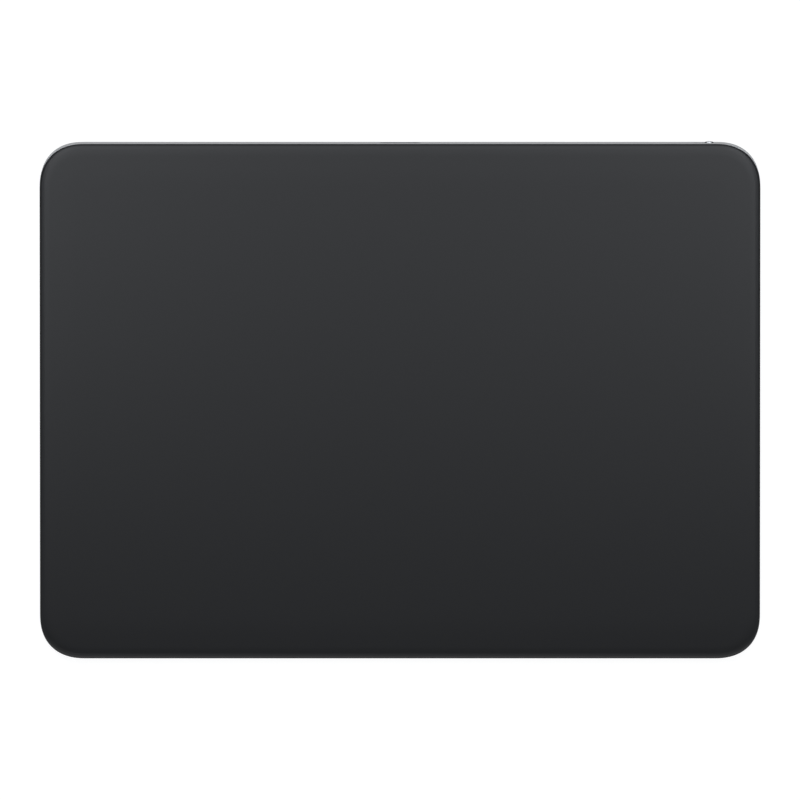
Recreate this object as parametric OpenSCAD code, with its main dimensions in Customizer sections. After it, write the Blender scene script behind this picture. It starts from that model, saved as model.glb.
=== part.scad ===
// Wedge-shaped desktop trackpad: a floating glass touch plate over a machined aluminium tray.
// Millimetres. +X is the user's right, +Y the rear, +Z up, with z = 0 on the desk.
// The touch plate and its springs lie in the plane of the sloping glass. There a level w is
// counted from the glass's upper face, negative downwards, and a depth v along the slope.

/* [Pad] */
// Width of the pad, left to right
pad_w = 160; // [150:1:190]
// Depth of the touch surface, along its slope
pad_d = 114.5; // [110:0.5:130]
// Radius of the corners in plan
corner_r = 9; // [7:0.5:11]
// Height of the touch surface above the desk at the front edge
front_h = 4.9; // [4.8:0.1:6.5]
// Height of the touch surface above the desk at the rear edge
rear_h = 10.9; // [10.4:0.1:14]

/* [Glass] */
// Thickness of the touch glass
glass_t = 1.0; // [0.8:0.05:1.1]
// Radius of the glass's rolled border
glass_roll_r = 1.5; // [1.45:0.05:2]
// Width of the rolled border in plan
glass_roll_w = 1.3; // [0.8:0.05:1.35]
// Gap between the floating glass and the tray's rim
glass_gap = 0.4; // [0.35:0.05:0.6]

/* [Tray] */
// Thickness of the tray's walls
wall_t = 1.6; // [1.2:0.1:2.2]
// Thickness of the tray's floor
floor_t = 1.0; // [0.8:0.1:1.1]
// Radius of the tray's lower edge
base_edge_r = 1.2; // [0.8:0.1:1.4]
// Height of the ribs on the floor
rib_h = 0.6; // [0.3:0.1:0.8]
// Width of the ribs on the floor
rib_w = 1.4; // [1:0.2:2.4]
// Spacing of the ribs
rib_pitch = 22; // [14:1:40]

/* [Feet] */
// Diameter of a foot
foot_d = 10; // [6:0.5:12]
// Height that the feet hold the tray off the desk
foot_h = 0.6; // [0.4:0.1:0.7]
// Depth of the pocket that a foot is bonded into
foot_pocket = 0.4; // [0.2:0.05:0.5]
// Radius of a foot's lower edge
foot_edge_r = 0.3; // [0.1:0.05:0.4]
// Radial clearance of a foot in its pocket
foot_gap = 0.05; // [0.02:0.01:0.2]
// Distance of a foot's centre from the pad's side
foot_side = 20; // [16:0.5:26]
// Distance of a foot's centre from the pad's front or rear edge
foot_end = 17; // [14:0.5:22]

/* [Touch plate] */
// Thickness of the film that bonds the glass to the sensor board
bond_t = 0.15; // [0.1:0.05:0.2]
// Thickness of the sensor board
sensor_t = 0.6; // [0.5:0.05:0.7]
// Space around the sensor board inside the tray's walls
sensor_gap = 0.6; // [0.5:0.1:1.5]
// Thickness of the steel stiffener
stiffener_t = 0.5; // [0.3:0.05:0.6]
// Distance of the stiffener's edge from the pad's edge
stiffener_edge = 6; // [5:0.5:8]
// Space between the chips or leads and the edge of a window in the stiffener
window_gap = 2; // [1:0.5:3]
// Width and depth of a touch controller chip
touch_chip_w = 7; // [5:0.5:9]
// Thickness of the touch controller chips
touch_chip_t = 0.9; // [0.6:0.1:1.2]
// Distance between the touch controller chips
touch_chip_pitch = 14; // [11:0.5:18]
// Distance of the touch controller chips in front of the pad's middle
touch_chip_front = 18; // [16:0.5:24]

/* [Suspension] */
// Downward travel of the touch plate
press_travel = 0.25; // [0.1:0.05:0.3]
// Sideways travel of the touch plate, each way
shake_travel = 0.2; // [0.1:0.05:0.3]
// Thickness of the gel pads
gel_t = 0.5; // [0.4:0.05:0.6]
// Length of a gel pad
gel_w = 8; // [6:0.5:8.5]
// Width of a gel pad
gel_d = 5.6; // [4:0.2:6]
// Thickness of the steel cups
cup_t = 0.3; // [0.2:0.05:0.4]
// Thickness of a spring arm
arm_t = 0.4; // [0.3:0.05:0.5]
// Length of a spring arm
arm_len = 26; // [24:0.5:28]
// Width of a spring arm
arm_w = 8; // [7:0.5:9]
// Length of the arm's clamped end
clamp_len = 9; // [8:0.5:10]
// Length of the arm's free end, under the cup
tip_len = 10; // [9.5:0.5:11]
// Width of each of the arm's two bending beams
beam_w = 2; // [1.4:0.1:2.4]
// Slot between the bending beams
beam_gap = 1.6; // [1:0.1:2]
// Distance of an arm's clamped end from the tray's inner wall
arm_wall_gap = 2.4; // [2.2:0.1:4]
// Distance of an arm's centre line from the pad's front or rear edge
arm_edge = 15; // [14:0.5:16.5]

/* [Haptic magnet] */
// Distance of the magnet's centre line behind the pad's middle
magnet_y = 4; // [3:0.5:10]
// Distance from the tray's right inner wall to the attraction bar's flange
magnet_inset = 13; // [6:0.5:16]
// Space above the magnet when the touch plate is pressed down
magnet_head_gap = 0.25; // [0.2:0.05:0.6]
// Width of one leg of the core
leg_w = 4; // [3:0.5:5]
// Length of one leg of the core
leg_len = 26; // [18:1:34]
// Distance between the legs' centre lines
leg_pitch = 12; // [11:0.5:16]
// Width of the bar that joins the legs
yoke_w = 5; // [4:0.5:7]
// Length of the screw ear at each end of that bar
yoke_ear = 5; // [4:0.5:6]
// Wall of a coil's bobbin
bobbin_t = 0.2; // [0.15:0.05:0.3]
// Thickness of a bobbin's flange
flange_t = 0.5; // [0.3:0.1:0.8]
// Depth of copper at the sides of a leg
winding_side = 0.7; // [0.4:0.1:1]
// Depth of copper over and under a leg
winding_face = 0.3; // [0.2:0.05:0.4]
// Air gap between the poles and the attraction bar
pole_gap = 0.5; // [0.4:0.05:1]
// Thickness of the attraction bar
bar_t = 3.5; // [2:0.5:5]
// Width of the attraction bar's flange
bar_flange_w = 4; // [3:0.5:6]

/* [Battery] */
// Distance of the cell's front edge behind the pad's middle
cell_front = 0.5; // [-2:0.5:10]
// Space between the cell and the tray's left wall
cell_wall_gap = 4; // [3:0.5:12]
// Space between the cell and the haptic magnet
cell_magnet_gap = 10; // [8:0.5:24]
// Space above the cell when the touch plate is pressed down
cell_head_gap = 0.25; // [0.2:0.05:0.8]
// Radius of the cell's edges
cell_edge_r = 1.2; // [0.6:0.1:1.5]
// Thickness of the tape under the cell
tape_t = 0.15; // [0.1:0.05:0.3]
// Width of a strip of tape
tape_w = 6; // [4:0.5:10]
// Length of the protection circuit behind the cell
circuit_w = 40; // [24:1:60]
// Depth of the protection circuit
circuit_d = 2.2; // [1.6:0.1:3]

/* [Logic board] */
// Width of the logic board
main_w = 92; // [88:1:94]
// Depth of the logic board
main_d = 15.5; // [15:0.1:17]
// Thickness of the logic board
main_t = 0.8; // [0.6:0.1:1]
// Height of the standoffs under the board
standoff_h = 1.0; // [0.8:0.1:1.4]
// Space between the board and the rear wall
main_wall_gap = 0.6; // [0.4:0.1:0.8]
// Height of the connectors on the board
connector_h = 1.0; // [0.6:0.1:1.4]
// Depth of the connectors
connector_d = 2.4; // [2:0.1:3]
// Height of the can over the radio
shield_h = 1.5; // [1.2:0.1:2]
// Thickness of the can's sheet
shield_t = 0.2; // [0.1:0.05:0.3]
// Height of the antenna's carrier
antenna_h = 4; // [2:0.2:4.4]

/* [Leads] */
// Thickness of the flexible leads
flex_t = 0.15; // [0.1:0.05:0.25]
// Width of the sensor board's lead
sensor_lead_w = 12; // [8:0.5:14]
// Width of the magnet's, the battery's and the switch's leads
lead_w = 3; // [2:0.5:4]
// Width of the strain gauges' leads
gauge_lead_w = 1.4; // [1:0.1:1.8]
// Space between a lead on the floor and what stands beside it
lead_gap = 0.3; // [0.2:0.05:0.4]

/* [Port] */
// Outside width of the port's shell
port_w = 8.94; // [8.7:0.02:9.2]
// Outside height of the port's shell
port_h = 3.26; // [3.1:0.02:3.4]
// Thickness of the shell's sheet
port_t = 0.3; // [0.2:0.05:0.35]
// Length of the shell
port_len = 7.3; // [6.6:0.1:8]
// Clearance around the shell in the rear wall
port_gap = 0.15; // [0.1:0.05:0.3]
// How far the shell's mouth lies behind the face of the rear wall
port_recess = 0.15; // [0.05:0.05:0.4]
// How far the gasket round the shell lies behind the face of the rear wall
gasket_recess = 0.05; // [0.02:0.01:0.1]
// Clearance between the gasket and the rear wall
gasket_gap = 0.03; // [0.02:0.01:0.05]
// Width of the contact tongue
tongue_w = 6.69; // [6.5:0.01:6.8]
// Thickness of the contact tongue
tongue_t = 0.7; // [0.6:0.05:0.8]
// Length of the contact tongue
tongue_len = 4.45; // [4:0.05:5]
// How far the tongue's tip lies behind the shell's mouth
tongue_recess = 1.0; // [0.6:0.1:1.2]
// Thickness of the strap over the port
cowling_t = 0.3; // [0.2:0.05:0.4]
// Depth of the strap over the port
cowling_d = 4; // [3:0.2:5]
// Clearance between the strap and the shell
cowling_gap = 0.1; // [0.05:0.05:0.2]

/* [Power switch] */
// Distance of the slot's centre from the start of the pad's right-hand corner
switch_side = 3.5; // [3:0.5:12]
// Distance of the slot's centre below the touch surface
switch_drop = 5.8; // [5.4:0.1:6.4]
// Length of the slot
slot_w = 4.6; // [4.2:0.1:5]
// Height of the slot
slot_h = 1.9; // [1.6:0.1:2.2]
// Length of the thumb nub
nub_w = 2.0; // [1.8:0.1:2.4]
// Clearance of the nub in the slot
nub_gap = 0.1; // [0.06:0.02:0.2]
// How far the nub stands out of the rear wall
nub_out = 0.3; // [0.2:0.05:0.8]
// Radius of the nub's crowned face
nub_crown_r = 1.5; // [1.3:0.1:2]
// Thickness of the slider plate behind the wall
slider_t = 0.7; // [0.5:0.1:0.9]
// Clearance between the slider plate and the rear wall
slider_gap = 0.25; // [0.2:0.05:0.4]
// Width of the switch's case
switch_body_w = 8; // [7:0.5:9]
// Depth of the switch's case
switch_body_d = 3; // [2.6:0.1:3.4]
// Height of the switch's case
switch_body_h = 2.6; // [2.2:0.1:3]
// Width of the switch's lever
lever_w = 1.5; // [1:0.1:2]
// Height of the switch's lever
lever_h = 1.1; // [0.8:0.1:1.4]
// Thickness of the strap over the switch
retainer_t = 0.3; // [0.2:0.05:0.4]

/* [Screws] */
// Diameter of the screws' shanks
screw_d = 1.2; // [1:0.1:1.4]
// Diameter of the screws' heads
screw_head_d = 2.4; // [2:0.1:2.6]
// Height of the screws' heads
screw_head_h = 0.35; // [0.25:0.05:0.4]
// Depth that the screws reach into the tray
screw_reach = 1.0; // [0.6:0.1:1.1]
// Radial clearance around the shanks
screw_gap = 0.05; // [0.02:0.01:0.1]
// Space under the screws' tips
screw_tip_gap = 0.1; // [0.05:0.05:0.2]

/* [Hidden] */
$fn = 64;
// How far a cutting shape passes the face that it cuts
over = 1;

// Slope of the touch surface, and the shift that centres the whole pad on the origin
slope = asin((rear_h - front_h) / pad_d);
middle_h = (front_h + rear_h) / 2;
pad_shift = -rear_h * sin(slope) / 2;

// Levels of the touch plate
glass_low = -glass_t;
rim_top = glass_low - glass_gap;
bond_low = glass_low - bond_t;
sensor_low = bond_low - sensor_t;
plate_low = sensor_low - stiffener_t;
gel_low = plate_low - gel_t;
cup_low = gel_low - cup_t;
arm_low = cup_low - arm_t;
pressed_low = plate_low - press_travel;

// Heights of the tray and of what stands on its floor
floor_top = foot_h + floor_t;
main_low = floor_top + standoff_h;
main_top = main_low + main_t;
connector_top = main_top + connector_h;
port_z = main_top + port_h / 2;
cell_low = floor_top + tape_t;
lead_top = floor_top + flex_t;

// Half sizes of the tray's inside
inner_x = pad_w / 2 - wall_t;
inner_v = pad_d / 2 - wall_t;
boss_r = screw_d / 2 + screw_gap + 0.75;

// Room that the rounding of the tray's lower edge leaves beside the walls, and its radius in plan,
// a little larger than the walls' so that the seams of the two lie apart
base_ease = 0.1;
base_r = corner_r + 2 * base_ease;

// Inset of the sensor board from the pad's outline
sensor_inset = wall_t + sensor_gap;

// Spring arms, in the rear right corner; the other corners mirror it
arm_end_x = inner_x - arm_wall_gap;
arm_v = pad_d / 2 - arm_edge;
arm_corner_r = 1;
arm_screw_edge = screw_head_d / 2 + 1;
clamp_x = arm_end_x - clamp_len / 2;
tip_x = arm_end_x - arm_len + tip_len / 2;
neck_len = arm_len - clamp_len - tip_len;
neck_x = arm_end_x - clamp_len - neck_len / 2;
neck_lap = 1;
cup_rim_t = 0.4;
cup_rim_h = gel_t / 2;
cup_gap = shake_travel + 0.2;
gauge_t = 0.1;
gauge_margin = 0.3;
gauge_link = 0.8;
gauge_end_x = neck_x - neck_len / 2 - gauge_link;

// Haptic magnet, from the right-hand wall inwards
coil_floor_gap = 0.1;
bobbin_gap = 0.05;
tube_out = bobbin_gap + bobbin_t;
bar_over = 2;
bar_d = leg_pitch + leg_w + 2 * bar_over;
bar_flange_t = 0.8;
bar_floor_gap = 0.3;
bar_low = plane_w(magnet_y - bar_d / 2, floor_top + bar_floor_gap) + press_travel;
bar_x = inner_x - magnet_inset - bar_flange_w - bar_t;
pole_x = bar_x - pole_gap;
yoke_x = pole_x - leg_len - yoke_w;
yoke_d = leg_pitch + leg_w + 2 * yoke_ear;
magnet_screw_y = yoke_d / 2 - yoke_ear / 2;
coil_end_gap = 0.5;
coil_from = yoke_x + yoke_w + coil_end_gap;
coil_to = pole_x - coil_end_gap;
coil_front = magnet_y - leg_pitch / 2 - leg_w / 2 - tube_out - winding_side;
core_low = floor_top + coil_floor_gap + winding_face + tube_out;
core_room = min(
    plane_z(magnet_y - yoke_d / 2, pressed_low) - screw_head_h,
    plane_z(coil_front, pressed_low) - tube_out - winding_face);
core_h = core_room - magnet_head_gap - core_low;

// Logic board, its screws and its connectors
main_rear = wall_y(inner_v, main_top) - main_wall_gap;
main_front = main_rear - main_d;
main_corner_r = 1.2;
main_screw_edge = 2.5;
main_screw_x = main_w / 2 - main_screw_edge;
main_screw_y = main_front + main_screw_edge;
connector_y = main_front + 0.6;
connector_rear = connector_y + connector_d;

// Battery, its circuit and its lead
cell_x = -inner_x + cell_wall_gap;
cell_w = yoke_x - cell_magnet_gap - cell_x;
cell_corner_r = 3;
cell_t = plane_z(cell_front, pressed_low) - cell_head_gap - cell_low;
circuit_gap = 0.6;
circuit_y = main_front - circuit_gap - circuit_d;
cell_d = circuit_y - circuit_gap - cell_front;
tape_edge = 4;
battery_lead_x = -8;
circuit_x = battery_lead_x + 2 * lead_w - circuit_w;

// Ribs on the floor, in front of the battery and the magnet
rib_wall_gap = 4;
rib_from = wall_y(-inner_v, floor_top) + rib_wall_gap;
rib_to = min(cell_front, magnet_y - yoke_d / 2) - rib_wall_gap;
rib_count = floor((tip_x - tip_len / 2 - rib_wall_gap) / rib_pitch);
rib_low = foot_h + floor_t / 2;

// Can over the radio, from the board's left-hand edge and its front edge
shield_edge = 12;
shield_place = 6.6;
shield_w = 14;
shield_d = 6.6;
shield_x = shield_edge + shield_w / 2 - main_w / 2;
shield_y = main_front + shield_place;

// Chips on the board: place along X, distance behind the board's front edge, width, depth and height
controller = [24, 8, 7, 7, 1.0];
amplifier = [32, 6, 4, 4, 0.8];
charger = [38, 11.5, 3.5, 3.5, 0.8];
radio = [shield_x - 2, shield_place, 5, 4, 0.9];
crystal = [shield_x + 3, shield_place, 3, 3, 0.7];
capacitor = [0.9, 0.6, 0.5];
capacitor_pitch = 1.7;
antenna_edge = 3;
antenna_w = 20;
antenna_d = 3.6;
antenna_x = antenna_edge + antenna_w / 2 - main_w / 2;
antenna_y = main_rear - antenna_d;
foil_t = 0.1;
foil_w = 1;

// The sensor board's lead: its loop is tangent to the board above and to the connector below
sensor_lead_x = 8;
sensor_bond_len = 12;
loop_y = connector_rear + 2.5;
loop_r = (plane_z(loop_y, sensor_low) - connector_top) * cos(slope) / (1 + cos(slope));
loop_z = connector_top + loop_r;
loop_v = (loop_y - pad_shift) * cos(slope) + (loop_z - middle_h) * sin(slope);

// Leads on the floor
coil_lead_x = cell_x + cell_w + (cell_magnet_gap - lead_w) / 2;
gauge_lead_x = inner_x - lead_gap - gauge_lead_w;
gauge_lead_y = wall_y(arm_v + arm_w / 2, floor_top) + lead_gap + gauge_lead_w / 2;
gauge_connector_x = main_w / 2 - 2;
gauge_connector_w = 3;

// Port
port_front = wall_y(pad_d / 2, port_z + port_h / 2) - port_recess;
port_back = port_front - port_len;
gasket_back = main_rear + main_wall_gap / 2;
port_block_gap = 0.03;
tongue_tip = port_front - tongue_recess;
contact_count = 12;
contact_pitch = 0.5;
contact_w = 0.25;
contact_t = 0.06;
cowling_ear_gap = 0.4;
cowling_half = port_w / 2 + cowling_gap;
cowling_screw_x = cowling_half + cowling_t + cowling_ear_gap + screw_head_d / 2;
cowling_screw_y = port_back + cowling_d / 2 + 0.9;
cowling_ear = cowling_screw_x + screw_head_d / 2 + cowling_ear_gap;

// Power switch, in the plane of the slope
switch_x = pad_w / 2 - corner_r - switch_side;
switch_travel = slot_w - nub_w - 2 * nub_gap;
nub_x = switch_x + switch_travel / 2;
nub_h = slot_h - 2 * nub_gap;
nub_len = slider_gap + wall_t + nub_out;
slider_lap = 0.1;
slider_w = slot_w + switch_travel + 2 * slider_lap;
slider_h = slot_h + 1.2;
slider_v = inner_v - slider_gap;
fork_len = 1.4;
fork_t = 0.6;
fork_gap = 0.05;
lever_gap = 0.1;
lever_pocket = 1;
switch_body_gap = 0.15;
switch_body_v = slider_v - slider_t - fork_len - switch_body_gap;
switch_body_low = -switch_drop - switch_body_h / 2;
switch_body_top = -switch_drop + switch_body_h / 2;
switch_post_x = switch_body_w / 2 + boss_r + 0.6;
switch_post_v = switch_body_v - switch_body_d / 2;

// A length rounded to whole micrometres
function micrometres(length) = round(length * 1000) / 1000;

// Depth on the desk, at height z, of the upright plane at depth v of the slope
function wall_y(v, z) = pad_shift + v / cos(slope) - (z - middle_h) * tan(slope);

// Height above the desk, at depth y, of the plane at level w of the touch plate
function plane_z(y, w) = middle_h + (y - pad_shift) * tan(slope) + w / cos(slope);

// Level of the touch plate that lies at height z above the desk, at depth y
function plane_w(y, z) = (z - middle_h - (y - pad_shift) * tan(slope)) * cos(slope);

// Depth on the desk of a point of the sloping frame
function slope_y(v, w) = pad_shift + v * cos(slope) - w * sin(slope);

// Height above the desk of a point of the sloping frame
function slope_z(v, w) = middle_h + v * sin(slope) + w * cos(slope);

// Places children in the plane of the touch surface
module on_slope() {
    translate([0, pad_shift, middle_h]) rotate([slope, 0, 0]) children();
}

// Mirrors children from the rear right corner to another
module at_corner(side_x, side_y) {
    mirror([side_x < 0 ? 1 : 0, 0, 0]) mirror([0, side_y < 0 ? 1 : 0, 0]) children();
}

// Rounded rectangle about the origin
module rounded(w, d, r) {
    square([w - 2 * r, d], center = true);
    square([w, d - 2 * r], center = true);
    for (x = [-1, 1], y = [-1, 1])
        translate([x * (w / 2 - r), y * (d / 2 - r)]) circle(r);
}

// Slot with round ends, about the origin, along X
module stadium(w, h) {
    square([w - h, h], center = true);
    for (x = [-1, 1]) translate([x * (w - h) / 2, 0]) circle(h / 2);
}

// Flat plate with a rounded outline, between two levels
module plate(w, d, r, low, high) {
    translate([0, 0, low]) linear_extrude(high - low) rounded(w, d, r);
}

// Box between two corners
module block(from, to) {
    translate(from) cube(to - from);
}

// Slab with a rounded outline whose border follows the children's profile:
// x runs outwards from 0 to r, and y upwards from 0 to h. Its straight sides are whole
// micrometres, so that its pieces meet without a slit
module bordered_slab(w, d, r, h) {
    side_x = micrometres(w / 2 - r);
    side_y = micrometres(d / 2 - r);
    translate([-side_x, -side_y, 0]) cube([2 * side_x, 2 * side_y, h]);
    for (turn = [0, 180]) rotate(turn) {
        translate([side_x, side_y, 0]) rotate([90, 0, 0]) linear_extrude(2 * side_y) children();
        translate([-side_x, side_y, 0]) rotate([90, 0, 90]) linear_extrude(2 * side_x) children();
        translate([side_x, side_y, 0]) rotate_extrude(angle = 90) children();
        translate([-side_x, side_y, 0]) rotate(90) rotate_extrude(angle = 90) children();
    }
}

// Screw whose head stands on z = 0, its shank downwards, with a hexagonal socket
module screw(reach) {
    difference() {
        union() {
            cylinder(d = screw_head_d, h = screw_head_h);
            translate([0, 0, -reach]) cylinder(d = screw_d, h = reach + screw_head_h / 2);
        }
        translate([0, 0, screw_head_h / 2]) cylinder(d = screw_head_d * 0.45, h = screw_head_h, $fn = 6);
    }
}

// Hole for a screw's shank, down from z = 0
module screw_hole(depth) {
    translate([0, 0, -depth]) cylinder(r = screw_d / 2 + screw_gap, h = depth + over);
}

// Hole in the tray for a screw's end
module tapped_hole() {
    screw_hole(screw_reach + screw_tip_gap);
}

// Prism square to the touch surface, set in from the pad's outline, from a level down through the desk
module pad_prism(inset, top) {
    on_slope() plate(pad_w - 2 * inset, pad_d - 2 * inset, corner_r - inset, -2 * rear_h, top);
}

// All the space above a height
module above(z) {
    translate([-pad_w, -pad_d, z]) cube([2 * pad_w, 2 * pad_d, 2 * rear_h]);
}

// Profile of the tray's rounded lower edge
module base_profile(r) {
    square([r - base_edge_r, 2 * base_edge_r]);
    translate([0, base_edge_r]) square([r, base_edge_r]);
    translate([r - base_edge_r, base_edge_r]) circle(base_edge_r);
}

// What is taken off below the tray and around its lower edge
module base_cut() {
    depth = 3 * rear_h;
    difference() {
        translate([-pad_w, -pad_d, -depth]) cube([2 * pad_w, 2 * pad_d, depth + foot_h + base_edge_r]);
        translate([0, wall_y(0, foot_h), foot_h])
            bordered_slab(
                pad_w + 2 * base_ease, pad_d / cos(slope) + 2 * base_ease, base_r, 2 * base_edge_r)
                base_profile(base_r);
    }
}

// Ribs that stiffen the front of the tray's floor
module ribs() {
    reach = rib_count * rib_pitch + rib_w / 2;
    for (i = [-rib_count : rib_count]) translate([i * rib_pitch, 0, 0])
        block([-rib_w / 2, rib_from, rib_low], [rib_w / 2, rib_to, floor_top + rib_h]);
    for (y = [rib_from, rib_to - rib_w])
        block([-reach, y, rib_low], [reach, y + rib_w, floor_top + rib_h]);
}

// Pads, posts and ribs that stand up from the tray's floor
module floor_features() {
    for (x = [-1, 1], y = [-1, 1]) on_slope() at_corner(x, y) translate([clamp_x, arm_v, 0])
        plate(clamp_len, arm_w, arm_corner_r, -2 * rear_h, arm_low);
    for (side = [-1, 1]) {
        board_screw_place(side) translate([0, 0, -main_low]) cylinder(r = boss_r, h = main_low);
        cowling_screw_place(side) translate([0, 0, -main_low]) cylinder(r = boss_r, h = main_low);
        magnet_screw_place(side) translate([0, 0, -core_low]) cylinder(r = boss_r, h = core_low);
        switch_screw_place(side) translate([0, 0, -rear_h]) cylinder(r = boss_r, h = rear_h);
    }
    on_slope() translate([switch_x, switch_body_v, 0])
        block([-switch_body_w / 2, -switch_body_d, -2 * rear_h], [switch_body_w / 2, 0, switch_body_low]);
    ribs();
}

// Machined tray: a wedge with leaning front and rear walls, a port and a switch slot
module enclosure() {
    color("silver") difference() {
        union() {
            difference() {
                pad_prism(0, rim_top);
                intersection() {
                    pad_prism(wall_t, over);
                    above(floor_top);
                }
                base_cut();
            }
            intersection() {
                floor_features();
                above(rib_low);
            }
        }
        for (x = [-1, 1], y = [-1, 1]) {
            foot_place(x, y) cylinder(d = foot_d, h = 2 * foot_pocket, center = true);
            arm_screw_places(x, y) translate([0, 0, arm_low]) tapped_hole();
        }
        for (side = [-1, 1]) {
            board_screw_place(side) tapped_hole();
            cowling_screw_place(side) tapped_hole();
            magnet_screw_place(side) tapped_hole();
            switch_screw_place(side) tapped_hole();
        }
        translate([0, wall_y(pad_d / 2, port_z) + over, port_z]) rotate([90, 0, 0])
            linear_extrude(wall_t + 2 * over) stadium(port_w + 2 * port_gap, port_h + 2 * port_gap);
        on_slope() translate([switch_x, pad_d / 2 + over, -switch_drop]) rotate([90, 0, 0])
            linear_extrude(wall_t + 2 * over) stadium(slot_w, slot_h);
    }
}

module foot_place(side_x, side_y) {
    v = side_y * (pad_d / 2 - foot_end);
    translate([side_x * (pad_w / 2 - foot_side), wall_y(v, foot_h), foot_h]) children();
}

// Rubber foot, bonded into its pocket
module foot(side_x, side_y) {
    r = foot_d / 2 - foot_gap;
    t = foot_h + foot_pocket;
    color("dimgray") foot_place(side_x, side_y) translate([0, 0, -foot_h]) rotate_extrude() {
        square([r - foot_edge_r, t]);
        translate([0, foot_edge_r]) square([r, t - foot_edge_r]);
        translate([r - foot_edge_r, foot_edge_r]) circle(foot_edge_r);
    }
}

// Profile of the glass's rolled border
module glass_profile() {
    intersection() {
        square([corner_r, glass_t]);
        union() {
            square([corner_r - glass_roll_w, glass_t]);
            translate([corner_r - glass_roll_w, glass_t - glass_roll_r]) circle(glass_roll_r);
        }
    }
}

module touch_glass() {
    color("#2e2f31") on_slope() translate([0, 0, glass_low])
        bordered_slab(pad_w, pad_d, corner_r, glass_t) glass_profile();
}

// Sheet as large as the sensor board, between two levels
module sensor_sheet(low, high) {
    on_slope()
        plate(pad_w - 2 * sensor_inset, pad_d - 2 * sensor_inset, corner_r - sensor_inset, low, high);
}

module glass_bond() {
    color("black") sensor_sheet(bond_low, glass_low);
}

module sensor_board() {
    color("darkgreen") sensor_sheet(sensor_low, bond_low);
}

module touch_chips() {
    color("#1b1b1c") on_slope() for (i = [-1 : 1])
        translate([i * touch_chip_pitch, -touch_chip_front, 0])
            plate(touch_chip_w, touch_chip_w, 0.3, sensor_low - touch_chip_t, sensor_low);
}

// Steel plate under the sensor board, with a window for the chips, a notch for the lead and two
// openings that save weight
module stiffener() {
    chips_w = 2 * touch_chip_pitch + touch_chip_w + 2 * window_gap;
    chips_d = touch_chip_w + 2 * window_gap;
    notch_w = sensor_lead_w + 2 * window_gap;
    notch_from = loop_v - sensor_bond_len - window_gap;
    light_w = 18;
    light_d = 22;
    light_x = chips_w / 2 + 6 + light_w / 2;
    color("lightsteelblue") on_slope() difference() {
        plate(
            pad_w - 2 * stiffener_edge, pad_d - 2 * stiffener_edge, corner_r - stiffener_edge / 2,
            plate_low, sensor_low);
        translate([0, -touch_chip_front, 0])
            plate(chips_w, chips_d, window_gap, plate_low - over, sensor_low + over);
        for (x = [-1, 1]) translate([x * light_x, -touch_chip_front - window_gap, 0])
            plate(light_w, light_d, window_gap, plate_low - over, sensor_low + over);
        block([sensor_lead_x - notch_w / 2, notch_from, plate_low - over],
            [sensor_lead_x + notch_w / 2, pad_d / 2, sensor_low + over]);
    }
}

// Steel angle under the stiffener that the magnet's poles pull sideways
module attraction_bar() {
    v = (magnet_y - pad_shift) / cos(slope);
    color("slategray") on_slope() translate([bar_x, v, 0]) {
        block([0, -bar_d / 2, bar_low], [bar_t, bar_d / 2, plate_low]);
        block([0, -bar_d / 2, plate_low - bar_flange_t], [bar_t + bar_flange_w, bar_d / 2, plate_low]);
    }
}

module gel(side_x, side_y) {
    color("aquamarine") on_slope() at_corner(side_x, side_y) translate([tip_x, arm_v, 0])
        plate(gel_w, gel_d, arm_corner_r, gel_low, plate_low);
}

// Shallow steel cup that holds a gel pad
module cup(side_x, side_y) {
    w = gel_w + 2 * cup_gap;
    d = gel_d + 2 * cup_gap;
    r = arm_corner_r + cup_gap;
    color("gainsboro") on_slope() at_corner(side_x, side_y) translate([tip_x, arm_v, 0]) difference() {
        plate(w + 2 * cup_rim_t, d + 2 * cup_rim_t, r + cup_rim_t, cup_low, gel_low + cup_rim_h);
        plate(w, d, r, gel_low, gel_low + gel_t);
    }
}

// Places children at the two screws of one arm
module arm_screw_places(side_x, side_y) {
    on_slope() at_corner(side_x, side_y) for (i = [-1, 1])
        translate([clamp_x + i * (clamp_len / 2 - arm_screw_edge), arm_v, 0]) children();
}

// Spring-steel arm: a clamped end, two slim bending beams and a wide tip
module arm(side_x, side_y) {
    neck_w = 2 * beam_w + beam_gap;
    color("silver") difference() {
        on_slope() at_corner(side_x, side_y) translate([0, arm_v, 0]) difference() {
            union() {
                translate([clamp_x, 0, 0]) plate(clamp_len, arm_w, arm_corner_r, arm_low, cup_low);
                translate([tip_x, 0, 0]) plate(tip_len, arm_w, arm_corner_r, arm_low, cup_low);
                translate([neck_x, 0, (arm_low + cup_low) / 2])
                    cube([neck_len + 2 * neck_lap, neck_w, arm_t], center = true);
            }
            translate([neck_x, 0, arm_low - over]) linear_extrude(arm_t + 2 * over)
                stadium(neck_len - neck_lap, beam_gap);
        }
        arm_screw_places(side_x, side_y) translate([0, 0, cup_low]) screw_hole(arm_t + over);
    }
}

// Strain gauge: a foil under each bending beam, joined at the tip
module gauge(side_x, side_y) {
    w = beam_w - 2 * gauge_margin;
    pitch = beam_gap + beam_w;
    color("goldenrod") on_slope() at_corner(side_x, side_y)
        translate([gauge_end_x, arm_v, arm_low - gauge_t]) {
            for (i = [-1, 1]) translate([0, i * pitch / 2 - w / 2, 0]) cube([neck_len, w, gauge_t]);
            translate([0, -pitch / 2, 0]) cube([gauge_link, pitch, gauge_t]);
        }
}

module arm_screws() {
    color("dimgray") for (x = [-1, 1], y = [-1, 1])
        arm_screw_places(x, y) translate([0, 0, cup_low]) screw(arm_t + screw_reach);
}

// Places children at a screw of the magnet, on the yoke's lower face
module magnet_screw_place(side) {
    translate([yoke_x + yoke_w / 2, magnet_y + side * magnet_screw_y, core_low]) children();
}

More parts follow.
